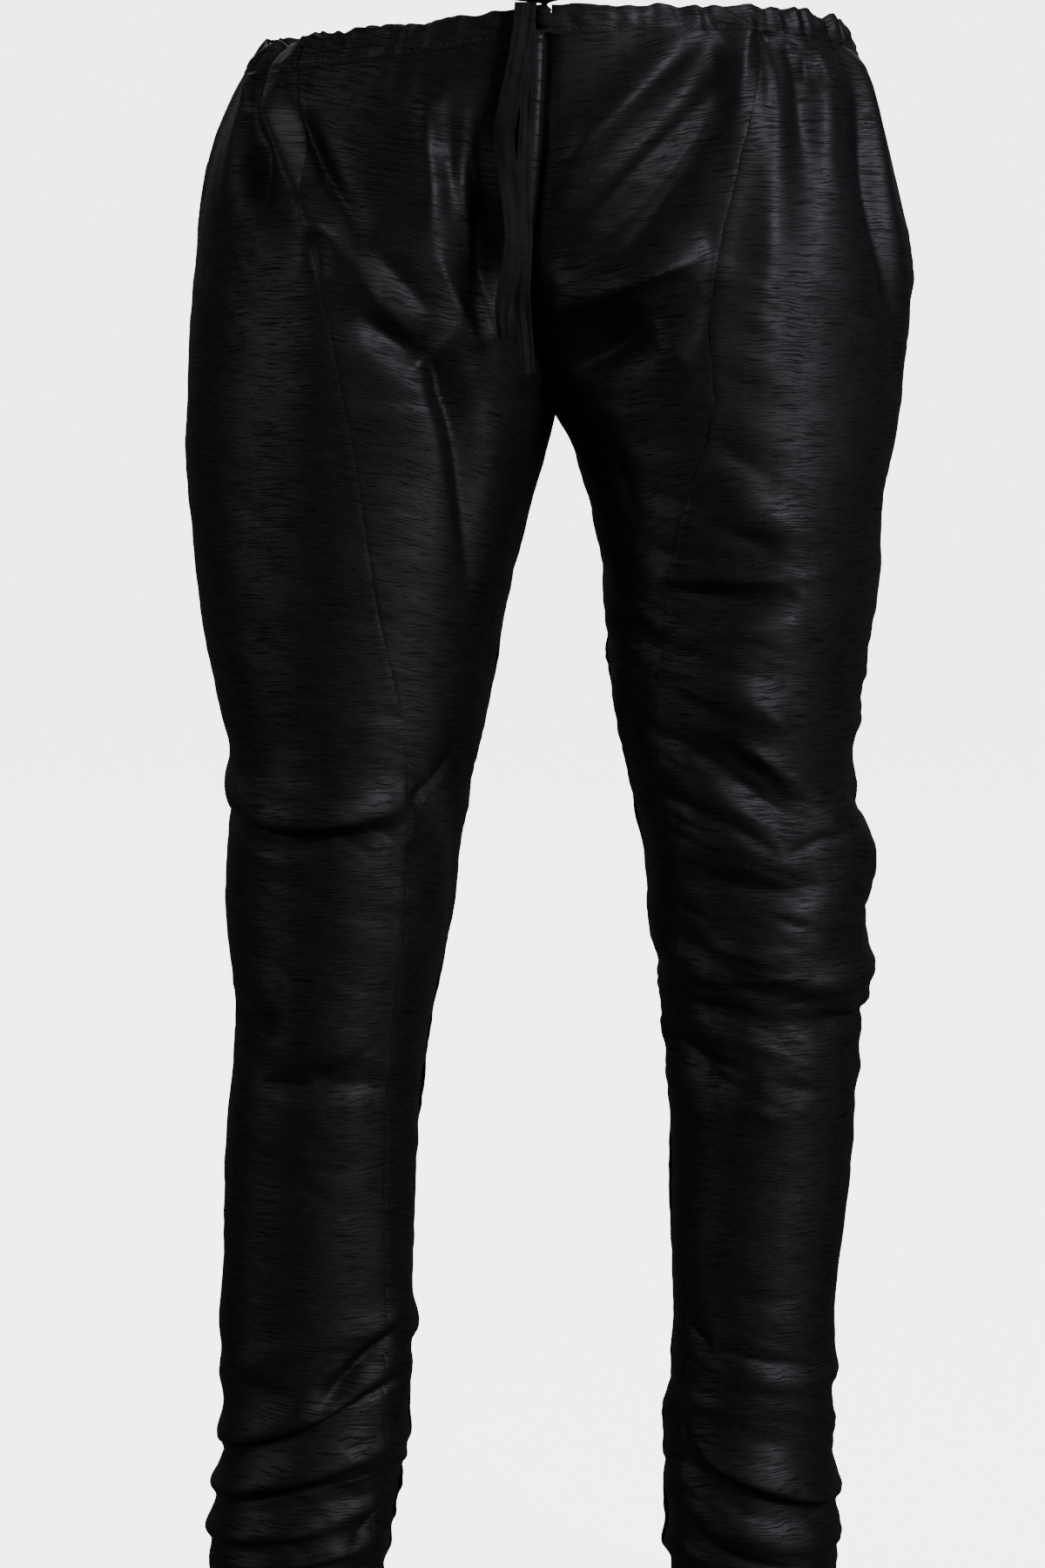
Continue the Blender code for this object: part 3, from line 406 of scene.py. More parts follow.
LEFT_CREASES = table(
    Fold,
    (-70, 6, -79, -20, -85, -66, 5.5, 4, 0.15, 0.2), (-68, 4, -73, -40, -76, -120, 4.5, -3, 0.15),
    (-142, -134, -118, -60, -89, -9, 8, 4.2, 0.5, 0.2), (-138, -165, -113, -92, -78, -19, 7, 5.2, 0.5, 0.2),
    (-126, -166, -103, -105, -81, -34, 11, -8.5), (-147, -208, -117, -184, -94, -156, 10, -8, 0.45),
    (-94, -140, -93, -177, -105, -213, 7, -2.4, 0.4), (-110, -172, -104, -193, -100, -215, 7, 2),
    (-156, -235, -143, -256, -137, -298, 7, -3), (-86, -12, -108, -52, -138, -142, 5, -2.6),
    (-86, -36, -105, -96, -138, -162, 8, -5.5, 0.45),
    (-156, -192, -121, -157, -90, -134, 4.5, 5.5, 0.6, 0.3), (-157, -212, -126, -190, -110, -178, 7, -5),
    (-67, -10, -75, -88, -76, -200, 6, 1.8, 0.3), (-57, -4, -62, -40, -62, -90, 6, -3, 0.15),
    (-66, -1, -67, -19, -71, -51, 6, -5, 0.25), (-52, -11, -54, -24, -58, -40, 4.5, -4.6),
    (-34, -22, -36, -86, -30, -175, 9, -4, 0.4), (-46, -8, -58, -85, -61, -190, 9, 1.4, 0.3),
    (-47, -12, -50, -23, -53, -36, 4.5, -4), (-36, -6, -48, -60, -51, -110, 9, -1.6, 0.25),
    (-40, -8, -47, -76, -48, -170, 9, 1.4, 0.35), (-41, -56, -33, -128, -17, -206, 8, -1.8, 0.45),
    (-128, -336, -97, -345, -70, -343, 4.2, -2.4, 0.45), (-104, -356, -88, -362, -66, -358, 6, 1.6, 0.45),
    (-94, -276, -76, -297, -52, -308, 5.5, 1.6), (-116, -384, -92, -404, -56, -421, 5, -1.8, 0.45),
    (-114, -437, -89, -458, -62, -491, 4.8, -2.6, 0.4), (-100, -432, -74, -448, -46, -468, 5.5, 2, 0.45),
    (-134, -504, -98, -524, -56, -520, 4.5, -2.4), (-126, -516, -92, -538, -50, -532, 5.5, 2),
    (-130, -548, -100, -559, -60, -559, 4.5, -2.2, 0.45), (-86, -566, -56, -577, -22, -570, 5.5, 2),
    (-20, -590, -67, -596, -97, -601, 4.5, -3), (-132, -604, -105, -610, -78, -621, 4.5, -2.8, 0.4),
    (-178, -617, -134, -632, -101, -643, 4.5, -3), (-120, -655, -92, -668, -60, -664, 5.5, 1.6),
    (-12, -604, 16, -612, 50, -604, 4, -4.5, 0.4), (-30, -466, -4, -478, 26, -470, 5.5, -3),
    (-22, -535, 4, -548, 30, -540, 5, -3.4), (-96, -826, -63, -832, -22, -834, 4, -2.4),
    (-110, -780, -84, -790, -50, -780, 5, -1.4), (-154, -870, -100, -921, -22, -926, 5, -4, 0.55),
    (-150, -858, -100, -908, -24, -914, 6, 3, 0.55), (-160, -905, -110, -950, -50, -955, 4.8, -3.4, 0.55),
    (-60, -978, -110, -986, -165, -962, 4.8, -3), (14, -10, 8, -60, 2, -140, 6, -3.2, 0.1),
    (28, -8, 24, -60, 22, -150, 6, 3.2, 0.15), (46, -6, 46, -55, 50, -130, 5.5, -3.4, 0.1),
    (70, -4, 74, -50, 80, -120, 5.5, 3, 0.15), (92, -2, 98, -55, 106, -120, 5.5, -3, 0.1),
    (64, -212, 98, -232, 130, -222, 6, -4), (52, -330, 88, -345, 126, -334, 5.5, 2.4, 0.45),
    (34, -486, 76, -508, 124, -498, 5, -3.6), (46, -528, 82, -540, 118, -530, 6, 2.6),
    (30, -640, 70, -654, 110, -642, 5, -2.8, 0.4), (30, -864, 78, -852, 128, -826, 4.5, -3.4),
    (20, -900, 70, -906, 124, -884, 4.5, -3.2), (-100, -249, -88, -263, -76, -276, 6, -2.2),
    (-130, -277, -112, -287, -93, -297, 6, -2.2), (-111, -297, -93, -305, -76, -317, 6.5, -3),
    (-139, -310, -118, -319, -103, -324, 5, -2), (-147, -330, -95, -334, -48, -326, 3.6, 2.6, 0.45),
    (-127, -339, -104, -341, -80, -337, 4.5, -4, 0.45), (-143, -352, -120, -357, -101, -362, 5, -2),
    (-134, -398, -112, -409, -91, -421, 5.5, -2.6), (-140, -371, -115, -379, -89, -389, 6, -2),
    (-108, -428, -88, -446, -66, -464, 5, -4.6, 0.6), (-99, -424, -82, -444, -64, -468, 5, 3, 0.55),
    (-141, -423, -118, -437, -102, -453, 5, -2.4), (-112, -391, -88, -406, -68, -426, 5.5, 2.4),
    (-123, -476, -102, -485, -77, -507, 5, -3.4, 0.6), (-79, -504, -56, -495, -26, -491, 4, -3.4, 0.4),
    (-148, -465, -122, -473, -107, -491, 5, -2.2), (-153, -604, -116, -601, -74, -616, 5.5, -3.6, 0.4),
    (-151, -624, -122, -646, -92, -664, 5.5, -3, 0.4), (-131, -581, -101, -583, -68, -578, 4, 2.2),
    (-91, -646, -70, -652, -43, -658, 4, -2.2), (-121, -821, -84, -827, -20, -836, 3.2, -2.8, 0.4),
    (-166, -792, -143, -811, -121, -821, 4, -2.8, 0.7), (-146, -865, -109, -905, -23, -930, 3.6, -4, 0.45),
    (-133, -874, -100, -899, -48, -908, 6, 2.4),
)

# Folds whose upper side hangs over: they stand out by `rise` and sag by `droop`
RIGHT_LIPS = table(
    Lip,
    (-2, -462, -61, -480, -128, -470, 6, 5, 6, 0.45), (-12, -598, -34, -604, -62, -601, 5, 2.4, 4, 0.25),
    (30, -470, 74, -494, 126, -490, 6, 3, 4, 0.45),
)
LEFT_LIPS = table(
    Lip,
    (30, -590, -20, -600, -74, -600, 5.5, 4, 6, 0.35), (-156, -194, -121, -158, -92, -135, 5, 2, 6, 0.6),
    (-110, -444, -84, -462, -54, -494, 6, 1.6, 3, 0.4), (34, -478, 76, -500, 124, -490, 6, 3, 4, 0.45),
)

# Smaller rolls between the main ones at the ankles
RIGHT_SMALL_ROLLS = table(
    Roll,
    (-845, 34, -30, 6, 1, 2, 60), (-880, 24, -20, 5, 1.6, 3, -150), (-914, 16, 20, 5.5, 2.6, 3.4, -30),
    (-947, 10, -40, 5.5, 2.4, 3.4, 80), (-977, 10, 100, 5.5, 2.2, 3, -90), (-1004, 4, 0, 5, 1.6, 2, 160),
)
LEFT_SMALL_ROLLS = table(
    Roll,
    (-851, 10, 40, 6, 1, 1.6, -30), (-884, 30, -40, 5, 1.4, 3, 150), (-915, 22, -30, 5.5, 2.6, 3.6, 60),
    (-948, 14, -10, 5.5, 2.4, 3.4, -140), (-978, 10, 80, 5.5, 2.2, 3, -60), (-1004, 4, 60, 5, 1.6, 2, -160),
)

# Where the silk is most restless: near the knees and the gathered ankles
RIGHT_UNREST = table(
    Rest,
    (-150, 70, 0.45), (-350, 80, 0.35), (-480, 50, 0.6), (-640, 80, 0.5), (-900, 90, 0.9),
)
LEFT_UNREST = table(
    Rest,
    (-150, 80, 0.5), (-400, 130, 1.2), (-600, 80, 1.2), (-900, 90, 0.9),
)

# The drawstring: its knot over the slit of the casing, and its two free ends
KNOT = table(
    Bead,
    (-3, -14.5, 3, 1.8), (1.5, -14.5, 4.8, 2.8), (8, -15, 5, 2.9), (12.6, -16, 5.6, 2.9),
    (13.6, -19, 12.8, 7.6), (18, -19, 13.8, 7.8), (23, -18.5, 12, 6.6), (27, -18, 12.6, 6.2),
    (30.5, -18, 7, 3.6),
)
LONG_END = table(
    Strip,
    (12.3, -25.5, -123.2, 13, 0), (-5, -27.5, -125, 13, 4), (-19, -30, -125.8, 12.5, 8),
    (-45, -35, -126, 12, 0), (-66, -38.5, -126, 12.5, -10), (-92, -35.5, -125.8, 13, 5),
    (-124, -33, -125.5, 12, 15), (-150, -35.5, -125.2, 11, 0), (-168, -39.5, -125, 9, -15),
    (-186, -38.5, -125, 6, -25),
)
SHORT_END = table(
    Strip,
    (12.3, -23.5, -121.2, 8, 0), (-19, -24, -121.4, 8, 4), (-45, -25.5, -121.8, 8, 4),
    (-87, -27, -121.8, 8, 15), (-134, -26.2, -121.2, 8.5, 10), (-166, -27.5, -120.6, 9, -5),
    (-190, -25.5, -120, 9.5, 5), (-207, -24.5, -119.8, 9, 0),
)

# The finishes
Finish = namedtuple("Finish", "ground deep slub roughness specular slubs relief grain grain_turn")
SILK_FINISH = Finish(
    ground=(0.0060, 0.0060, 0.0072, 1.0),
    deep=(0.0036, 0.0036, 0.0044, 1.0),
    # The dashes' colour: a painted shade of the thick threads' shadowed sides
    slub=(0.0012, 0.0012, 0.0016, 1.0),
    roughness=0.50,
    specular=0.30,
    slubs=1.0,
    relief=0.5,
    grain=0.4,
    grain_turn=0.25,
)
DRAWSTRING_FINISH = SILK_FINISH._replace(
    ground=(0.0050, 0.0050, 0.0056, 1.0),
    deep=(0.0032, 0.0032, 0.0038, 1.0),
    # The dashes' colour: a painted shade of the thick threads' shadowed sides
    slub=(0.0016, 0.0016, 0.0020, 1.0),
    roughness=0.70,
    specular=0.18,
    slubs=0.3,
    grain=0.0,
)

RIGHT = Leg("right", -1, RIGHT_SECTIONS, RIGHT_RIM, RIGHT_FRONT_SEAM, BACK_SEAM, RIGHT_FOLDS, RIGHT_ROLLS,
            RIGHT_CREASES, RIGHT_LIPS, RIGHT_SMALL_ROLLS, RIGHT_UNREST)
LEFT = Leg("left", 1, LEFT_SECTIONS, LEFT_RIM, LEFT_FRONT_SEAM, BACK_SEAM, LEFT_FOLDS, LEFT_ROLLS,
           LEFT_CREASES, LEFT_LIPS, LEFT_SMALL_ROLLS, LEFT_UNREST)

# Rows of the mesh below the waist, closest together where the cloth is folded
BANDS = (
    Band(-0.430, 130),
    Band(-0.650, 130),
    Band(-0.810, 64),
    Band(HEM_HEIGHT, 140),
)


def column(rows, name, at):
    """A named column of a table, as a smooth curve through its rows, read at the given places."""
    ordered = sorted(rows)
    keys = np.array([row[0] for row in ordered])
    values = np.array([getattr(row, name) for row in ordered])
    slopes = np.gradient(values, keys)
    below = np.clip(np.searchsorted(keys, at) - 1, 0, len(keys) - 2)
    step = keys[below + 1] - keys[below]
    t = np.clip((at - keys[below]) / step, 0.0, 1.0)
    lift = values[below + 1] - values[below]
    curve = t * t * (3.0 - 2.0 * t) * lift
    curve += t * (1.0 - t) ** 2 * step * slopes[below]
    curve -= t * t * (1.0 - t) * step * slopes[below + 1]
    return values[below] + curve


def ease(start, end, at):
    """0 at start, 1 at end, with level ends."""
    t = np.clip((at - start) / (end - start), 0.0, 1.0)
    return t * t * (3.0 - 2.0 * t)


def ripple(across, down, wave, shift=0):
    """Smooth waves of no fixed pattern, from about -1 to 1, the same on every run."""
    lattice = np.random.default_rng(wave.seed + shift).uniform(-1.0, 1.0, (LATTICE, LATTICE))
    x = across / wave.across + LATTICE / 2.0
    y = down / wave.down + LATTICE / 2.0
    left = np.floor(x).astype(int)
    low = np.floor(y).astype(int)
    u = ease(0.0, 1.0, x - left)
    v = ease(0.0, 1.0, y - low)
    right, high = (left + 1) % LATTICE, (low + 1) % LATTICE
    left, low = left % LATTICE, low % LATTICE
    near = lattice[left, low] * (1.0 - u) + lattice[right, low] * u
    far = lattice[left, high] * (1.0 - u) + lattice[right, high] * u
    return near * (1.0 - v) + far * v


def half_oval(middle, reach, front, back, angle):
    """A point of an oval round `middle`, from the front (-) through the outer side (0) to the back (+)."""
    across = middle + reach * np.cos(angle)
    along = np.sin(angle)
    return across, np.where(along < 0.0, -front * along, back * along)


def half_span(height):
    """Half of the arc round a leg that the centre seams leave, in radians: a half turn below the crotch."""
    cut = np.where(height > CROTCH_HEIGHT, column(BODY, "cut", height), 0.0)
    return math.pi - np.radians(cut)


def smooth_form(leg, turn, height):
    """The tube without its folds: half of the body at the waist, which eases into a whole leg."""
    around = 2.0 * turn - 1.0
    span = half_span(height)
    centre = column(BODY, "centre", height)
    outer = column(leg.sections, "outer", height)
    inner = column(leg.sections, "inner", height)
    body_x, body_y = half_oval(
        centre,
        outer - centre,
        column(BODY, "front", height),
        column(BODY, "back", height),
        around * math.pi / 2.0,
    )
    crossing = np.where(height > CROTCH_HEIGHT, centre, inner)
    radius = (outer - crossing) / (1.0 - np.cos(span))
    leg_x, leg_y = half_oval(
        outer - radius,
        radius,
        column(leg.sections, "front", height),
        column(leg.sections, "back", height),
        around * span,
    )
    share = ease(BODY_FORM_ENDS, LEG_FORM_STARTS, height)
    x = body_x + (leg_x - body_x) * share + leg.sign * SEAM_GAP / 2.0
    y = body_y + (leg_y - body_y) * share
    return np.stack([x, y, height + np.zeros_like(x)], axis=-1)


def bearing_of(turn, height):
    """Angle round the leg, in radians, of a place given by its turn."""
    return (2.0 * turn - 1.0) * half_span(height)


def turn_of(bearing, height):
    """The turn of a place given by its angle round the leg, in degrees."""
    return 0.5 + np.radians(bearing) / (2.0 * half_span(height))


def cloth_per_radian(leg, height):
    """Length of cloth that one radian of bearing covers at one height."""
    ring = smooth_form(leg, np.linspace(0.0, 1.0, RING_STEPS), height)
    length = np.linalg.norm(np.diff(ring, axis=0), axis=1).sum()
    return length / (2.0 * float(half_span(height)))


def girth(leg, height):
    """Length of cloth that one radian covers, at every height of a grid."""
    levels = np.linspace(HEM_HEIGHT - GIRTH_BELOW_HEM, GIRTH_TOP, GIRTH_LEVELS)
    lengths = np.array([cloth_per_radian(leg, level) for level in levels])
    return np.interp(height, levels, lengths)


def fold_shape(leg, fold, bearing, height, crisp=False):
    """How strongly one fold acts at each place, from 0 to 1: a line through its three points.

    A crisp fold has a narrow crest and wide foot, and any other is round.
    """
    scale = cloth_per_radian(leg, fold.height_2)
    t = np.linspace(0.0, 1.0, PATH_STEPS)
    first, second, third = (1 - t) * (1 - 2 * t), 4 * t * (1 - t), t * (2 * t - 1)
    path = np.radians(first * fold.bearing_1 + second * fold.bearing_2 + third * fold.bearing_3)
    level = first * fold.height_1 + second * fold.height_2 + third * fold.height_3
    shape = np.zeros(bearing.shape)
    margin = REACHES * fold.width
    close = (height > level.min() - margin) & (height < level.max() + margin)
    if fold.height_1 > CROTCH_HEIGHT and fold.height_3 > CROTCH_HEIGHT:
        close &= (bearing > path.min() - margin / scale) & (bearing < path.max() + margin / scale)
    bearing, height = bearing[close], height[close]
    nearest = np.full(bearing.shape, np.inf)
    place = np.zeros(bearing.shape)
    side = np.zeros(bearing.shape)
    for step in range(PATH_STEPS - 1):
        off = bearing - path[step]
        off = np.where(height < CROTCH_HEIGHT, (off + math.pi) % math.tau - math.pi, off) * scale
        up = height - level[step]
        run = (path[step + 1] - path[step]) * scale
        climb = level[step + 1] - level[step]
        along = np.clip((off * run + up * climb) / (run * run + climb * climb), 0.0, 1.0)
        apart = np.hypot(off - along * run, up - along * climb)
        closer = apart < nearest
        nearest = np.where(closer, apart, nearest)
        place = np.where(closer, (step + along) / (PATH_STEPS - 1), place)
        side = np.where(closer, np.sign(run * up - climb * off), side)
    reach = np.where(place < fold.fullest, fold.fullest, 1.0 - fold.fullest)
    strength = np.cos(math.pi / 2.0 * (place - fold.fullest) / np.maximum(reach, TINY))
    width = fold.width * (1.0 + fold.lean * side)
    off = nearest / width
    shape[close] = strength * np.exp(-(off ** 2) / (CRISP + off) if crisp else -(off ** 2))
    return shape


def roll_shape(roll, bearing, height):
    """How strongly one roll of gathered cloth stands at each place, from 0 to 1."""
    level = roll.height - roll.tilt * np.cos(bearing - math.radians(roll.low_bearing))
    fullness = ROLL_FULLNESS - ROLL_UNEVEN * np.cos(bearing - math.radians(roll.flat_bearing))
    return fullness * np.exp(-(((height - level) / roll.width) ** 2))


def outward(leg, form, turn, height):
    """Outward normals of a form, from small steps round it and down it."""
    round_it = form(leg, turn + TURN_STEP, height) - form(leg, turn - TURN_STEP, height)
    down_it = form(leg, turn, height - HEIGHT_STEP) - form(leg, turn, height + HEIGHT_STEP)
    normal = np.cross(down_it, round_it) * leg.sign
    return normal / np.linalg.norm(normal, axis=-1, keepdims=True)


def crumple(leg, bearing, height):
    """The small unevenness of worn silk: slow swells, and short waves that run mostly round the leg."""
    across = bearing * girth(leg, height)
    slow = SOFT_WAVE * ripple(across, height, SWELLS, leg.sign)
    restless = CALM
    for rest in leg.unrest:
        restless = restless + rest.amount * np.exp(-(((height - rest.height) / rest.reach) ** 2))
    bent = height + leg.sign * WAVE_SLANT * across + BEND * ripple(across, height, BENDS, leg.sign)
    short = ripple(across, bent, LONG_WAVES, leg.sign)
    short += SHARP_SHARE * np.abs(ripple(across, bent, SHARP_WAVES, leg.sign))
    fine = ripple(across, height, FINE_WAVES, leg.sign)
    return slow + restless * (SHORT_WAVE * short + FINE_WAVE * fine)


def gather_wave(turn):
    """The gathers that the drawstring makes, from -1 to 1, uneven in spacing and in strength."""
    level = turn * 0.0
    strength = GATHER_EVEN + GATHER_UNEVEN * ripple(turn, level, GATHER_STRENGTHS)
    wave = WIDE_GATHER_SHARE * ripple(turn, level, WIDE_GATHERS)
    wave += NARROW_GATHER_SHARE * ripple(turn, level, NARROW_GATHERS)
    calm = ease(CASING_SLIT, CALM_FROM_SLIT, turn) * ease(1.0, 1.0 - CALM_FROM_SLIT, turn)
    return wave * strength * calm


def folded_form(leg, turn, height):
    """The dressed tube: its folds, rolls, creases, gathers and crumple."""
    place = smooth_form(leg, turn, height)
    level_out = outward(leg, smooth_form, turn, height)
    level_out[..., 2] = 0.0
    bearing = bearing_of(turn, height)
    rise = np.zeros(turn.shape)
    sag = np.zeros(turn.shape)
    for fold in leg.folds:
        rise += fold.rise * fold_shape(leg, fold, bearing, height)
    for crease in leg.creases:
        rise += crease.rise * fold_shape(leg, crease, bearing, height, crisp=True)
    for lip in leg.lips:
        shape = fold_shape(leg, lip, bearing, height, crisp=True)
        rise += lip.rise * shape
        sag += lip.droop * shape
    rise += crumple(leg, bearing, height)
    # Above the crotch the folds die out towards the centre seams, where the two halves are sewn together
    held = ease(0.0, SEAM_HOLD, turn) * ease(1.0, 1.0 - SEAM_HOLD, turn)
    rise *= np.where(height > CROTCH_HEIGHT, held, 1.0)
    for roll in leg.rolls + leg.small_rolls:
        shape = roll_shape(roll, bearing, height)
        rise += roll.rise * shape
        sag += roll.droop * shape
    top = column(leg.rim, "height", turn) - column(leg.rim, "casing", turn)
    fall = GATHER_FALL * (1.0 + GATHER_FALL_UNEVEN * ripple(turn, turn * 0.0, GATHER_FALLS))
    rise += GATHER_RISE * GATHER_SHARE * gather_wave(turn) * np.exp(-np.maximum(top - height, 0.0) / fall)
    place = place + level_out * rise[..., None]
    place[..., 2] -= sag
    return place


def grid_normals(leg, place):
    """Outward normals of a grid of points, [row][column], from its neighbours."""
    round_it = np.gradient(place, axis=1)
    down_it = np.gradient(place, axis=0)
    normal = np.cross(down_it, round_it) * leg.sign
    return normal / np.maximum(np.linalg.norm(normal, axis=-1, keepdims=True), TINY)


def shares(columns):
    """Where a piece's columns lie across it, from 0 to 1, closest together at its two seams."""
    edge = np.array(EDGE_SHARES)
    middle = np.linspace(edge[-1], 1.0 - edge[-1], columns + 3 - 2 * len(edge))
    return np.concatenate([edge[:-1], middle, 1.0 - edge[:-1][::-1]])


def row_height(leg, row, turn):
    """Height of one row of a panel: the rows follow the casing near the waist and are level below."""
    if row < WAIST_ROWS:
        top = column(leg.rim, "height", turn) - column(leg.rim, "casing", turn) + TUCK
        return top + (EVEN_BELOW_WAIST - top) * row / WAIST_ROWS
    row -= WAIST_ROWS
    start = EVEN_BELOW_WAIST
    for band in BANDS:
        if row <= band.rows:
            return np.full(turn.shape, start + (band.bottom - start) * row / band.rows)
        row -= band.rows
        start = band.bottom
    return np.full(turn.shape, HEM_HEIGHT)


def wall(name, outer, inner, weave, cloth):
    """A named closed sheet between two grids of points, [row][column], with its four edges closed.

    The inner side keeps every second row and column. Both grids have odd numbers of them.
    """
    front, rim = grid_faces(*outer.shape[:2], 0)
    inner = inner[::2, ::2]
    back, inner_rim = grid_faces(*inner.shape[:2], outer.shape[0] * outer.shape[1])
    start, middle, end = rim[::2], rim[1::2], np.roll(rim[::2], -1)
    inner_end = np.roll(inner_rim, -1)
    edge = np.stack([end, middle, inner_rim, inner_end], axis=-1)
    corner = np.stack([middle, start, inner_rim], axis=-1)
    points = np.concatenate([outer.reshape(-1, 3), inner.reshape(-1, 3)])
    weave = np.concatenate([weave.reshape(-1, 2), weave[::2, ::2].reshape(-1, 2)])
    return finished(name, points, [front, back[:, ::-1], edge, corner], weave, cloth)


def grid_faces(rows, columns, start):
    """The faces of a grid whose points are numbered from `start`, and the points round its edge."""
    index = start + np.arange(rows * columns).reshape(rows, columns)
    faces = np.stack([index[:-1, :-1], index[:-1, 1:], index[1:, 1:], index[1:, :-1]], axis=-1).reshape(-1, 4)
    rim = np.concatenate([index[0, :], index[1:, -1], index[-1, -2::-1], index[-2:0:-1, 0]])
    return faces, rim


def finished(name, points, faces, weave, cloth):
    """An object from points, arrays of faces and each point's place in the weave, its faces pointing out."""
    volume = 0.0
    for some in faces:
        for corner in range(2, some.shape[1]):
            a, b, c = points[some[:, 0]], points[some[:, corner - 1]], points[some[:, corner]]
            volume += np.einsum("ij,ij->i", a, np.cross(b, c)).sum()
    if volume < 0.0:
        faces = [some[:, ::-1] for some in faces]
    mesh = bpy.data.meshes.new(name)
    mesh.from_pydata(points.tolist(), [], [face for some in faces for face in some.tolist()])
    corners = np.empty(len(mesh.loops), dtype=np.int32)
    mesh.loops.foreach_get("vertex_index", corners)
    mesh.uv_layers.new(name="weave").data.foreach_set("uv", weave[corners].ravel())
    mesh.materials.append(cloth)
    mesh.shade_smooth()
    mesh.set_sharp_from_angle(angle=math.radians(SHARP_DEGREES))
    made = bpy.data.objects.new(name, mesh)
    bpy.context.scene.collection.objects.link(made)
    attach(made, "root")
    return made


def front_seam(leg, height):
    return turn_of(column(leg.front_seam, "bearing", height), height)


def back_seam(leg, height):
    return turn_of(column(leg.back_seam, "bearing", height), height)


def centre_front(leg, height):
    return np.zeros(height.shape)


def centre_back(leg, height):
    return np.ones(height.shape)


def panel(leg, part, first_edge, last_edge, columns, steps, turned, cloth):
    """One sewn piece of a leg between two of its seams.

    `steps` says for each seam how far the piece stands up beside it, where the turnings lie under it.
    `turned` is the angle, in degrees, at which the weft crosses the piece.
    """
    share = shares(columns)
    turns, heights = [], []
    turn = share
    for row in range(WAIST_ROWS + sum(band.rows for band in BANDS) + 1):
        # An edge depends on the height, and the top rows' heights on the turn, so they settle together
        for _ in range(SETTLE_STEPS):
            height = row_height(leg, row, turn)
            first = first_edge(leg, height)
            turn = first + (last_edge(leg, height) - first) * share
        turns.append(turn)
        heights.append(height)
    turn, height = np.array(turns), np.array(heights)
    place = folded_form(leg, turn, height)
    normal = grid_normals(leg, place)
    across = bearing_of(turn, height) * girth(leg, height)
    lift = np.zeros(turn.shape)
    for edge, step, seed in ((0, steps[0], 3), (-1, steps[1], 5)):
        away = np.abs(across - across[:, edge][:, None])
        pucker = PUCKER * ripple(height, away, PUCKERS, seed + leg.sign)
        lift += step * np.exp(-((away / SEAM_STEP_REACH) ** 4)) + pucker * np.exp(-away / PUCKER_REACH)
        lift -= SEAM_GROOVE * np.exp(-((away / SEAM_GROOVE_REACH) ** 2))
    if part == "front_gusset":
        away = across - across[:, 0][:, None]
        reach = SLIT_REACH if leg.name == "left" else NARROW_SLIT_REACH
        lift -= SLIT_DEPTH * np.exp(-((away / reach) ** 2)) * ease(CROTCH_HEIGHT, SLIT_FULL_FROM, height)
    # Beside the centre seams the cloth moves only forwards or backwards, so that the two halves stay closed
    centre_edge = {"front_gusset": 0, "back_gusset": -1}.get(part)
    if centre_edge is not None:
        away = np.abs(across - across[:, centre_edge][:, None])
        normal[..., 0] *= np.where(height > CROTCH_HEIGHT, ease(0.0, CENTRE_REACH, away), 1.0)
        normal /= np.linalg.norm(normal, axis=-1, keepdims=True)
        overlap = SEAM_OVERLAP * np.exp(-((away / SEAM_OVERLAP_REACH) ** 2))
        place[..., 0] -= leg.sign * overlap * (height > CROTCH_HEIGHT)
    hemmed = ease(HEM_HEIGHT + HEM_TURNING + HEM_STEP_REACH, HEM_HEIGHT + HEM_TURNING, height)
    lift += (HEM_SILK - SILK) * hemmed
    lift -= HEM_ROUND * np.exp(-(((height - HEM_HEIGHT) / HEM_ROUND_REACH) ** 2))
    place = place + normal * lift[..., None]
    normal[..., 2] *= ease(LEVEL_EDGE_ABOVE, LEVEL_EDGE_BELOW, height)
    normal /= np.linalg.norm(normal, axis=-1, keepdims=True)
    inner = place - normal * (SILK + (HEM_SILK - SILK) * hemmed)[..., None]
    angle = math.radians(turned)
    weave = np.stack(
        [
            across * math.cos(angle) + height * math.sin(angle),
            height * math.cos(angle) - across * math.sin(angle),
        ],
        axis=-1,
    )
    name = leg.name + "_" + part
    made = wall("silk_" + name, place, inner, weave, cloth)
    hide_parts(name)
    return made


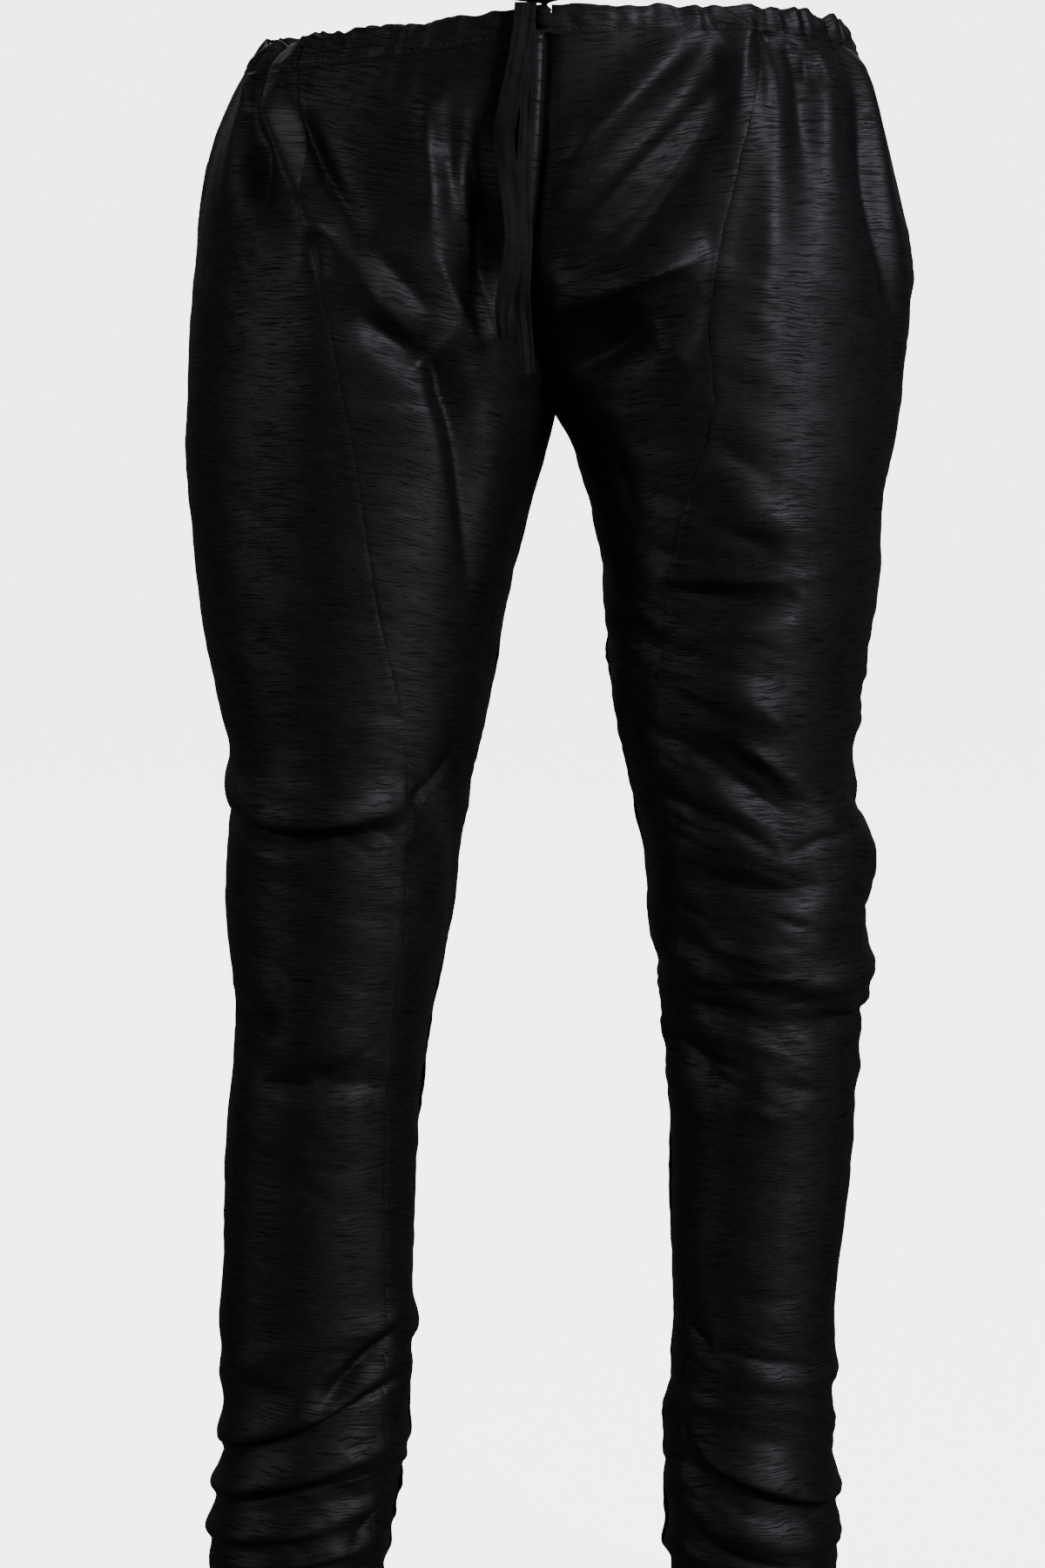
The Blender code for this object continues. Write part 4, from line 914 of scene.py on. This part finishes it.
def casing_half(leg):
    """Outer and inner points of the casing round one half of the waist, from the front to the back."""
    turn = np.linspace(CASING_SLIT, 1.0, CASING_COLUMNS + 1)
    wave = gather_wave(turn)
    rim = column(leg.rim, "height", turn)
    depth = column(leg.rim, "casing", turn)
    down = np.linspace(0.0, 1.0, CASING_ROWS + 1)[:, None]
    height = rim - depth * down
    turn = turn + 0.0 * down
    place = folded_form(leg, turn, height)
    normal = outward(leg, smooth_form, turn, height)
    normal[..., 2] = 0.0
    normal /= np.linalg.norm(normal, axis=-1, keepdims=True)
    across = bearing_of(turn, height) * girth(leg, height)
    # The tube of the casing is full over the drawstring, and pulled in at its stitching and its top fold
    full = np.sin(math.pi * np.clip(down / CASING_FULL_TO, 0.0, 1.0)) ** CASING_ROUNDNESS
    stitched = np.exp(-(((down - CASING_STITCHES) / CASING_STITCH_REACH) ** 2))
    rough = DENT_DEPTH * ripple(across, height, CASING_DENTS)
    rough = rough + SMALL_DENT_DEPTH * ripple(across, height, SMALL_DENTS)
    rough = rough * (1.0 - DENTS_LOST_BELOW * down)
    lift = CASING_PROUD + CASING_BULGE * full - CASING_STITCH_DEPTH * stitched
    lift = lift + GATHER_RISE * wave * (GATHER_SHARE + GATHER_SHARE_WHERE_FULL * full) + rough
    place = place + normal * lift[..., None]
    cusps = SCALLOP * wave + CUSP * ripple(across, 0.0 * across, CUSPS)
    place[..., 2] += cusps * (1.0 - down) ** CUSP_FALL
    thickness = CASING_THICKNESS * (RIM_THICKNESS + (1.0 - RIM_THICKNESS) * ease(0.0, RIM_REACH, down))
    thickness = thickness * (1.0 - CASING_THINNED * ease(CASING_THINS_FROM, 1.0, down))
    inner = place - normal * thickness[..., None]
    weave = np.stack([across, height], axis=-1)
    return place, inner, weave


def casing(cloth):
    """The casing: one band from the slit at the centre front, round the back, to the slit again."""
    right_outer, right_inner, right_weave = casing_half(RIGHT)
    left_outer, left_inner, left_weave = casing_half(LEFT)
    outer = np.concatenate([right_outer[:, :-1], left_outer[:, ::-1]], axis=1)
    inner = np.concatenate([right_inner[:, :-1], left_inner[:, ::-1]], axis=1)
    weave = np.concatenate([right_weave[:, :-1], left_weave[:, ::-1]], axis=1)
    made = wall("silk_casing", outer, inner, weave, cloth)
    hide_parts("waist_casing")
    return made


def free_end(name, rows, seed, cloth):
    """A free end of the drawstring: a strip of silk folded lengthwise, crushed a little along its way."""
    height = np.linspace(rows[0].height, rows[-1].height, STRIP_STEPS)
    path = np.stack([column(rows, "across", height), column(rows, "forward", height), height], axis=1)
    twist = np.radians(column(rows, "twist", height))[:, None]
    half = column(rows, "width", height)[:, None] / 2.0
    side = np.linspace(-1.0, 1.0, STRIP_COLUMNS)[None, :]
    along = height[:, None] + 0.0 * side
    across = side * half
    crush = STRIP_CRUSH * ripple(across, along, STRIP_CRUSHES, seed)
    crush = crush + STRIP_CRUSH / 2.0 * ripple(across, along, SMALL_CRUSHES, seed)
    fold = np.exp(-(((side - STRIP_RIDGE) / STRIP_RIDGE_REACH) ** 2))
    fold = fold - np.exp(-(((side - STRIP_HOLLOW) / STRIP_HOLLOW_REACH) ** 2))
    lift = crush - STRIP_FOLD * fold * (1.0 + ripple(along, side * 0.0, STRIP_FOLDS, seed))
    wave = STRIP_SWAY * ripple(along, side * 0.0, STRIP_SWAYS, seed) * side
    middle = path[:, None, :]
    level = np.zeros(np.broadcast(twist, side).shape)
    sideways = np.stack([np.cos(twist) + level, np.sin(twist) + level, level], axis=-1)
    out = np.stack([np.sin(twist) + level, -np.cos(twist) + level, level], axis=-1)
    rounded = np.sqrt(np.maximum(1.0 - side ** 2, 0.0))
    thickness = STRIP_THICKNESS * (STRIP_EDGE + (1.0 - STRIP_EDGE) * rounded) + level
    centre = middle + sideways * (across + wave)[..., None] + out * lift[..., None]
    outer = centre + out * (thickness / 2.0)[..., None]
    inner = centre - out * (thickness / 2.0)[..., None]
    weave = np.stack([across + level, along], axis=-1)
    made = wall("silk_" + name, outer, inner, weave, cloth)
    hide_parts(name)
    return made, path.tolist()


def knot(cloth):
    """The drawstring's knot, with the turns of the strip wound round it on a slant."""
    level = np.linspace(0.0, 1.0, KNOT_ROWS)
    heights = KNOT[0].height + (KNOT[-1].height - KNOT[0].height) * level
    across = column(KNOT, "across", heights)[:, None]
    wide = np.maximum(column(KNOT, "half_width", heights), KNOT_LEAST)[:, None]
    deep = np.maximum(column(KNOT, "half_depth", heights), KNOT_LEAST)[:, None]
    angle = np.linspace(0.0, math.tau, KNOT_COLUMNS, endpoint=False)[None, :]
    wound = KNOT_WRAPS * (heights[:, None] - KNOT[0].height) * math.tau / KNOT_PITCH
    winding = np.cos(wound + KNOT_SLANT * np.sin(angle))
    grooves = 1.0 - KNOT_GROOVE * np.maximum(winding, 0.0) ** 3
    closed = np.sin(np.clip(np.minimum(level, 1.0 - level) / KNOT_ROUND_END, 0.0, 1.0) * math.pi / 2.0)
    size = grooves * np.maximum(closed, KNOT_TIP)[:, None]
    points = np.stack(
        [
            across + wide * size * np.cos(angle),
            KNOT_FORWARD - deep * size * np.sin(angle),
            heights[:, None] + 0.0 * angle,
        ],
        axis=-1,
    )
    index = np.arange(KNOT_ROWS * KNOT_COLUMNS).reshape(KNOT_ROWS, KNOT_COLUMNS)
    beside = np.roll(index, -1, axis=1)
    faces = np.stack([index[:-1], beside[:-1], beside[1:], index[1:]], axis=-1).reshape(-1, 4)
    caps = []
    for ring in (index[0], index[-1]):
        half = KNOT_COLUMNS // 2
        for step in range(half - 1):
            quad = (ring[step], ring[step + 1], ring[-2 - step], ring[-1 - step])
            caps.append(quad if ring[0] else quad[::-1])
    faces = [faces, np.array(caps)]
    weave = np.stack([heights[:, None] + 0.0 * angle, angle * KNOT_WEAVE + 0.0 * heights[:, None]], axis=-1)
    made = finished("silk_drawstring_knot", points.reshape(-1, 3), faces, weave.reshape(-1, 2), cloth)
    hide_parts("drawstring_knot")
    return made


class Term:
    """A socket of a material's nodes, on which sums are written as plain expressions."""

    def __init__(self, cloth, socket):
        self.cloth = cloth
        self.socket = socket

    def sum(self, operation, first, second):
        return self.cloth.node("ShaderNodeMath", {"operation": operation}, {0: first, 1: second})

    def __add__(self, other):
        return self.sum("ADD", self, other)

    __radd__ = __add__

    def __sub__(self, other):
        return self.sum("SUBTRACT", self, other)

    def __rsub__(self, other):
        return self.sum("SUBTRACT", other, self)

    def __mul__(self, other):
        return self.sum("MULTIPLY", self, other)

    __rmul__ = __mul__


class Cloth:
    """A material with its nodes."""

    def __init__(self, name):
        self.material = bpy.data.materials.new(name)
        self.material.use_nodes = True
        self.tree = self.material.node_tree
        self.shader = self.tree.nodes["Principled BSDF"]

    def node(self, kind, settings, sockets, output=0):
        """A node with its settings, and the values or links of its sockets."""
        made = self.tree.nodes.new(kind)
        for setting, value in settings.items():
            setattr(made, setting, value)
        for name, value in sockets.items():
            self.give(made, name, value)
        return Term(self, made.outputs[output])

    def give(self, node, name, value):
        """Sets or links one socket."""
        if isinstance(value, Term):
            self.tree.links.new(value.socket, node.inputs[name])
        else:
            node.inputs[name].default_value = value

    def noise(self, place, scale, detail, roughness, stretch=(1.0, 1.0, 1.0)):
        """Noise over the weave, stretched by different amounts across and down."""
        moved = self.node("ShaderNodeMapping", {}, {"Vector": place, "Scale": stretch})
        sockets = {"Vector": moved, "Scale": scale, "Detail": detail, "Roughness": roughness}
        return self.node("ShaderNodeTexNoise", {"noise_dimensions": "2D"}, sockets)

    def step(self, value, low, high):
        """0 below `low` and 1 above `high`, with a soft edge."""
        sockets = {"Value": value, "From Min": low, "From Max": high}
        return self.node("ShaderNodeMapRange", {"interpolation_type": "SMOOTHSTEP"}, sockets)

    def blend(self, share, first, second):
        """A colour between two."""
        return self.node("ShaderNodeMix", {"data_type": "RGBA"}, {0: share, 6: first, 7: second}, 2)


def silk(name, finish):
    """Slub silk: a fine cross rib, thick threads that show as short dashes, darkened by painted shade and
    duller, and a cool soft sheen.
    """
    cloth = Cloth(name)
    weave = cloth.node("ShaderNodeUVMap", {"uv_map": "weave"}, {})
    # The weft wanders a little, so that no dash is quite straight
    wander = cloth.noise(weave, WANDER_SCALE, 3.0, 0.6) * WANDER
    across = cloth.node("ShaderNodeCombineXYZ", {}, {"X": 0.0, "Y": wander})
    bent = cloth.node("ShaderNodeVectorMath", {"operation": "ADD"}, {0: weave, 1: across})
    dashes = cloth.noise(bent, 1.0, 2.0, 0.5, DASHES)
    short = cloth.noise(bent, 1.0, 1.0, 0.5, SHORT_DASHES)
    streaks = cloth.noise(bent, 1.0, 2.0, 0.6, STREAKS)
    crowded = cloth.noise(weave, CROWDING_SCALE, 1.0, 0.5)
    slub = cloth.step(dashes + crowded * SLUB_CROWDING, *SLUB_EDGE)
    nub = cloth.step(short + crowded * NUB_CROWDING, *NUB_EDGE) * NUB_SHARE
    marks = cloth.node("ShaderNodeMath", {"operation": "MAXIMUM"}, {0: slub, 1: nub}) * finish.slubs
    cloudy = cloth.noise(weave, CLOUD_SCALE, 3.0, 0.6)
    shade = cloth.blend(cloudy, finish.deep, finish.ground)
    # The dashes are darkened in colour: painted shade of the thick threads' shadowed lower sides. Metallic
    # dulls their reflection too.
    cloth.give(cloth.shader, "Base Color", cloth.blend(marks * SLUB_PAINTED_SHADE, shade, finish.slub))
    streak = cloth.step(streaks, *STREAK_EDGE)
    cloth.give(cloth.shader, "Metallic", marks * SLUB_METAL + streak * STREAK_METAL)
    rough = finish.roughness + cloudy * CLOUD_ROUGHNESS + marks * SLUB_ROUGHNESS
    cloth.give(cloth.shader, "Roughness", rough)
    cloth.give(cloth.shader, "Specular IOR Level", finish.specular)
    cloth.give(cloth.shader, "Anisotropic", finish.grain)
    cloth.give(cloth.shader, "Anisotropic Rotation", finish.grain_turn)
    relief = streaks * STREAK_RELIEF - marks * SLUB_RELIEF + cloudy * CLOUD_RELIEF
    sockets = {"Strength": finish.relief, "Distance": RELIEF_DEPTH, "Height": relief}
    cloth.give(cloth.shader, "Normal", cloth.node("ShaderNodeBump", {}, sockets))
    return cloth.material


def thread(name):
    """The sewing thread, a little duller and lighter than the silk."""
    cloth = Cloth(name)
    place = cloth.node("ShaderNodeTexCoord", {}, {}, 3)
    fibre = cloth.node("ShaderNodeTexNoise", {}, {"Vector": place, "Scale": THREAD_FIBRE, "Detail": 2.0})
    cloth.give(cloth.shader, "Base Color", cloth.blend(fibre, THREAD_DARK, THREAD_PALE))
    cloth.give(cloth.shader, "Roughness", fibre * 0.2 + 0.5)
    return cloth.material


def stitch_nodes(thread_silk):
    """Geometry nodes that set stitches along a line, one after another."""
    tree = bpy.data.node_groups.new("stitches", "GeometryNodeTree")
    tree.interface.new_socket("Geometry", in_out="INPUT", socket_type="NodeSocketGeometry")
    for name in ("Spacing", "Length", "Thickness"):
        tree.interface.new_socket(name, in_out="INPUT", socket_type="NodeSocketFloat")
    tree.interface.new_socket("Geometry", in_out="OUTPUT", socket_type="NodeSocketGeometry")

    def node(kind, settings=None, **sockets):
        made = tree.nodes.new(kind)
        for name, value in (settings or {}).items():
            setattr(made, name, value)
        for name, value in sockets.items():
            socket = made.inputs[name.replace("_", " ")]
            if isinstance(value, bpy.types.NodeSocket):
                tree.links.new(value, socket)
            else:
                socket.default_value = value
        return made

    given = tree.nodes.new("NodeGroupInput")
    line = node("GeometryNodeMeshToCurve", Mesh=given.outputs["Geometry"])
    line = node("GeometryNodeResampleCurve", Curve=line.outputs[0])
    if "Mode" in line.inputs:
        line.inputs["Mode"].default_value = "Length"
    else:
        line.mode = "LENGTH"
    tree.links.new(given.outputs["Spacing"], line.inputs["Length"])
    tangent = node("GeometryNodeInputTangent")
    turned = node("FunctionNodeAlignRotationToVector", {"axis": "Z"}, Vector=tangent.outputs[0])
    loop = node("GeometryNodeMeshCylinder", Vertices=STITCH_SIDES, Radius=1.0, Depth=1.0)
    size = node("ShaderNodeCombineXYZ", X=given.outputs["Thickness"], Y=given.outputs["Thickness"],
                Z=given.outputs["Length"])
    placed = node("GeometryNodeInstanceOnPoints", Points=line.outputs[0], Instance=loop.outputs[0],
                  Rotation=turned.outputs[0], Scale=size.outputs[0])
    real = node("GeometryNodeRealizeInstances", Geometry=placed.outputs[0])
    coloured = node("GeometryNodeSetMaterial", Geometry=real.outputs[0], Material=thread_silk)
    out = tree.nodes.new("NodeGroupOutput")
    tree.links.new(coloured.outputs[0], out.inputs[0])
    return tree


def stitches(name, lines, tree):
    """Rows of stitches along the given lines of points, as one plain mesh."""
    points, edges = [], []
    for line in lines:
        start = len(points)
        points += [tuple(point) for point in line]
        edges += [(start + step, start + step + 1) for step in range(len(line) - 1)]
    mesh = bpy.data.meshes.new(name + "_line")
    mesh.from_pydata(points, edges, [])
    line = bpy.data.objects.new(name + "_line", mesh)
    bpy.context.scene.collection.objects.link(line)
    sewing = line.modifiers.new("sewing", "NODES")
    sewing.node_group = tree
    sizes = {"Spacing": STITCH_SPACING, "Length": STITCH_LENGTH, "Thickness": STITCH_THICKNESS}
    for item in tree.interface.items_tree:
        if item.name in sizes:
            sewing[item.identifier] = sizes[item.name]
    depsgraph = bpy.context.evaluated_depsgraph_get()
    plain = bpy.data.meshes.new_from_object(line.evaluated_get(depsgraph))
    bpy.data.objects.remove(line)
    bpy.data.meshes.remove(mesh)
    made = bpy.data.objects.new(name, plain)
    bpy.context.scene.collection.objects.link(made)
    plain.shade_smooth()
    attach(made, "root")


def casing_stitch_line(leg):
    """The line of stitches that closes the casing, on its outer side."""
    turn = np.linspace(*CASING_STITCH_ENDS, CASING_COLUMNS)
    height = column(leg.rim, "height", turn) - column(leg.rim, "casing", turn) * CASING_STITCHES
    place = folded_form(leg, turn, height)
    normal = outward(leg, smooth_form, turn, height)
    lift = CASING_PROUD - CASING_STITCH_SUNK + GATHER_RISE * gather_wave(turn) * GATHER_SHARE
    return place + normal * lift[:, None]


def hem_stitch_line(leg):
    """The line of stitches round one hem."""
    turn = np.linspace(0.0, 1.0, HEM_STITCH_STEPS)
    height = np.full(turn.shape, HEM_HEIGHT + HEM_TURNING * HEM_STITCH_SHARE)
    place = folded_form(leg, turn, height)
    return place + outward(leg, smooth_form, turn, height) * HEM_STITCH_RISE


def camera():
    """The photograph's view: level with the hips, from 2.6 m in front, tilted down a little."""
    lens = bpy.data.cameras.new("camera")
    lens.sensor_width = SENSOR
    lens.lens = LENS
    eye = bpy.data.objects.new("camera", lens)
    eye.location = CAMERA_PLACE
    eye.rotation_euler = (math.radians(90.0 - CAMERA_TILT), 0.0, 0.0)
    bpy.context.scene.collection.objects.link(eye)
    bpy.context.scene.camera = eye


def softbox(name, place, aim, size, power, colour):
    """A large soft lamp that faces a point."""
    lamp = bpy.data.lights.new(name, "AREA")
    lamp.shape = "RECTANGLE"
    lamp.size, lamp.size_y = size
    lamp.energy = power
    lamp.color = colour
    made = bpy.data.objects.new(name, lamp)
    made.location = place
    away = [p - a for p, a in zip(place, aim)]
    flat = math.hypot(away[0], away[1])
    made.rotation_euler = (math.atan2(flat, away[2]), 0.0, math.atan2(away[0], -away[1]))
    bpy.context.scene.collection.objects.link(made)


def studio():
    """A round pale floor that curves up into a pale wall, and soft lamps."""
    profile = [(FLOOR_RADIUS, FLOOR_HEIGHT)]
    for step in range(1, COVE_STEPS + 1):
        angle = math.pi / 2.0 * step / COVE_STEPS
        height = FLOOR_HEIGHT + COVE * (1.0 - math.cos(angle))
        profile.append((FLOOR_RADIUS + COVE * math.sin(angle), height))
    profile.append((FLOOR_RADIUS + COVE, WALL_TOP))
    turns = [2.0 * math.pi * step / BACKDROP_SIDES for step in range(BACKDROP_SIDES)]
    points = [(r * math.cos(a), r * math.sin(a), z) for r, z in profile for a in turns]
    points.append((0.0, 0.0, FLOOR_HEIGHT))
    faces = []
    for side in range(BACKDROP_SIDES):
        after = (side + 1) % BACKDROP_SIDES
        faces.append((len(points) - 1, side, after))
        for row in range(len(profile) - 1):
            inner = row * BACKDROP_SIDES
            outer = inner + BACKDROP_SIDES
            faces.append((inner + side, outer + side, outer + after, inner + after))
    mesh = bpy.data.meshes.new("backdrop")
    mesh.from_pydata(points, [], faces)
    mesh.shade_smooth()
    paper = Cloth("backdrop_paper")
    place = paper.node("ShaderNodeTexCoord", {}, {}, 3)
    fibre = paper.node("ShaderNodeTexNoise", {}, {"Vector": place, "Scale": BACKDROP_FIBRE, "Detail": 3.0})
    paper.give(paper.shader, "Base Color", paper.blend(fibre, PAPER_DARK, PAPER_PALE))
    paper.give(paper.shader, "Roughness", 0.9)
    mesh.materials.append(paper.material)
    # The paper glows a little, so that it photographs white, and is kept out of the silk's reflections
    paper.give(paper.shader, "Emission Color", (1.0, 1.0, 1.0, 1.0))
    paper.give(paper.shader, "Emission Strength", BACKDROP_GLOW)
    sweep = bpy.data.objects.new("backdrop", mesh)
    sweep.visible_glossy = False
    sweep.visible_diffuse = False
    sweep.visible_shadow = False
    bpy.context.scene.collection.objects.link(sweep)
    world = bpy.data.worlds.new("studio")
    world.use_nodes = True
    world.node_tree.nodes["Background"].inputs["Color"].default_value = (1.0, 1.0, 1.0, 1.0)
    world.node_tree.nodes["Background"].inputs["Strength"].default_value = ROOM_LIGHT
    bpy.context.scene.world = world
    for lamp in LAMPS:
        softbox(*lamp)


def main():
    camera()
    drawstring_silk = silk("drawstring_silk", DRAWSTRING_FINISH)
    long_end, long_path = free_end("drawstring_long_end", LONG_END, 21, drawstring_silk)
    short_end, short_path = free_end("drawstring_short_end", SHORT_END, 31, drawstring_silk)
    tied = knot(drawstring_silk)
    black_silk = silk("black_silk", SILK_FINISH)
    for leg in (RIGHT, LEFT):
        steps = (SEAM_STEP, SEAM_STEP)
        side = panel(leg, "side_panel", front_seam, back_seam, SIDE_PANEL_COLUMNS, steps, 0.0, black_silk)
        front = panel(leg, "front_gusset", centre_front, front_seam, FRONT_GUSSET_COLUMNS, (0.0, 0.0),
                      GUSSET_WEFT, black_silk)
        back = panel(leg, "back_gusset", back_seam, centre_back, BACK_GUSSET_COLUMNS, (0.0, 0.0),
                     -GUSSET_WEFT, black_silk)
    band = casing(black_silk)
    sewing_thread = thread("sewing_thread")
    tree = stitch_nodes(sewing_thread)
    lines = [casing_stitch_line(RIGHT), casing_stitch_line(LEFT)]
    stitches("casing_stitches", lines, tree)
    stitches("right_hem_stitches", [hem_stitch_line(RIGHT)], tree)
    stitches("left_hem_stitches", [hem_stitch_line(LEFT)], tree)
    studio()


main()
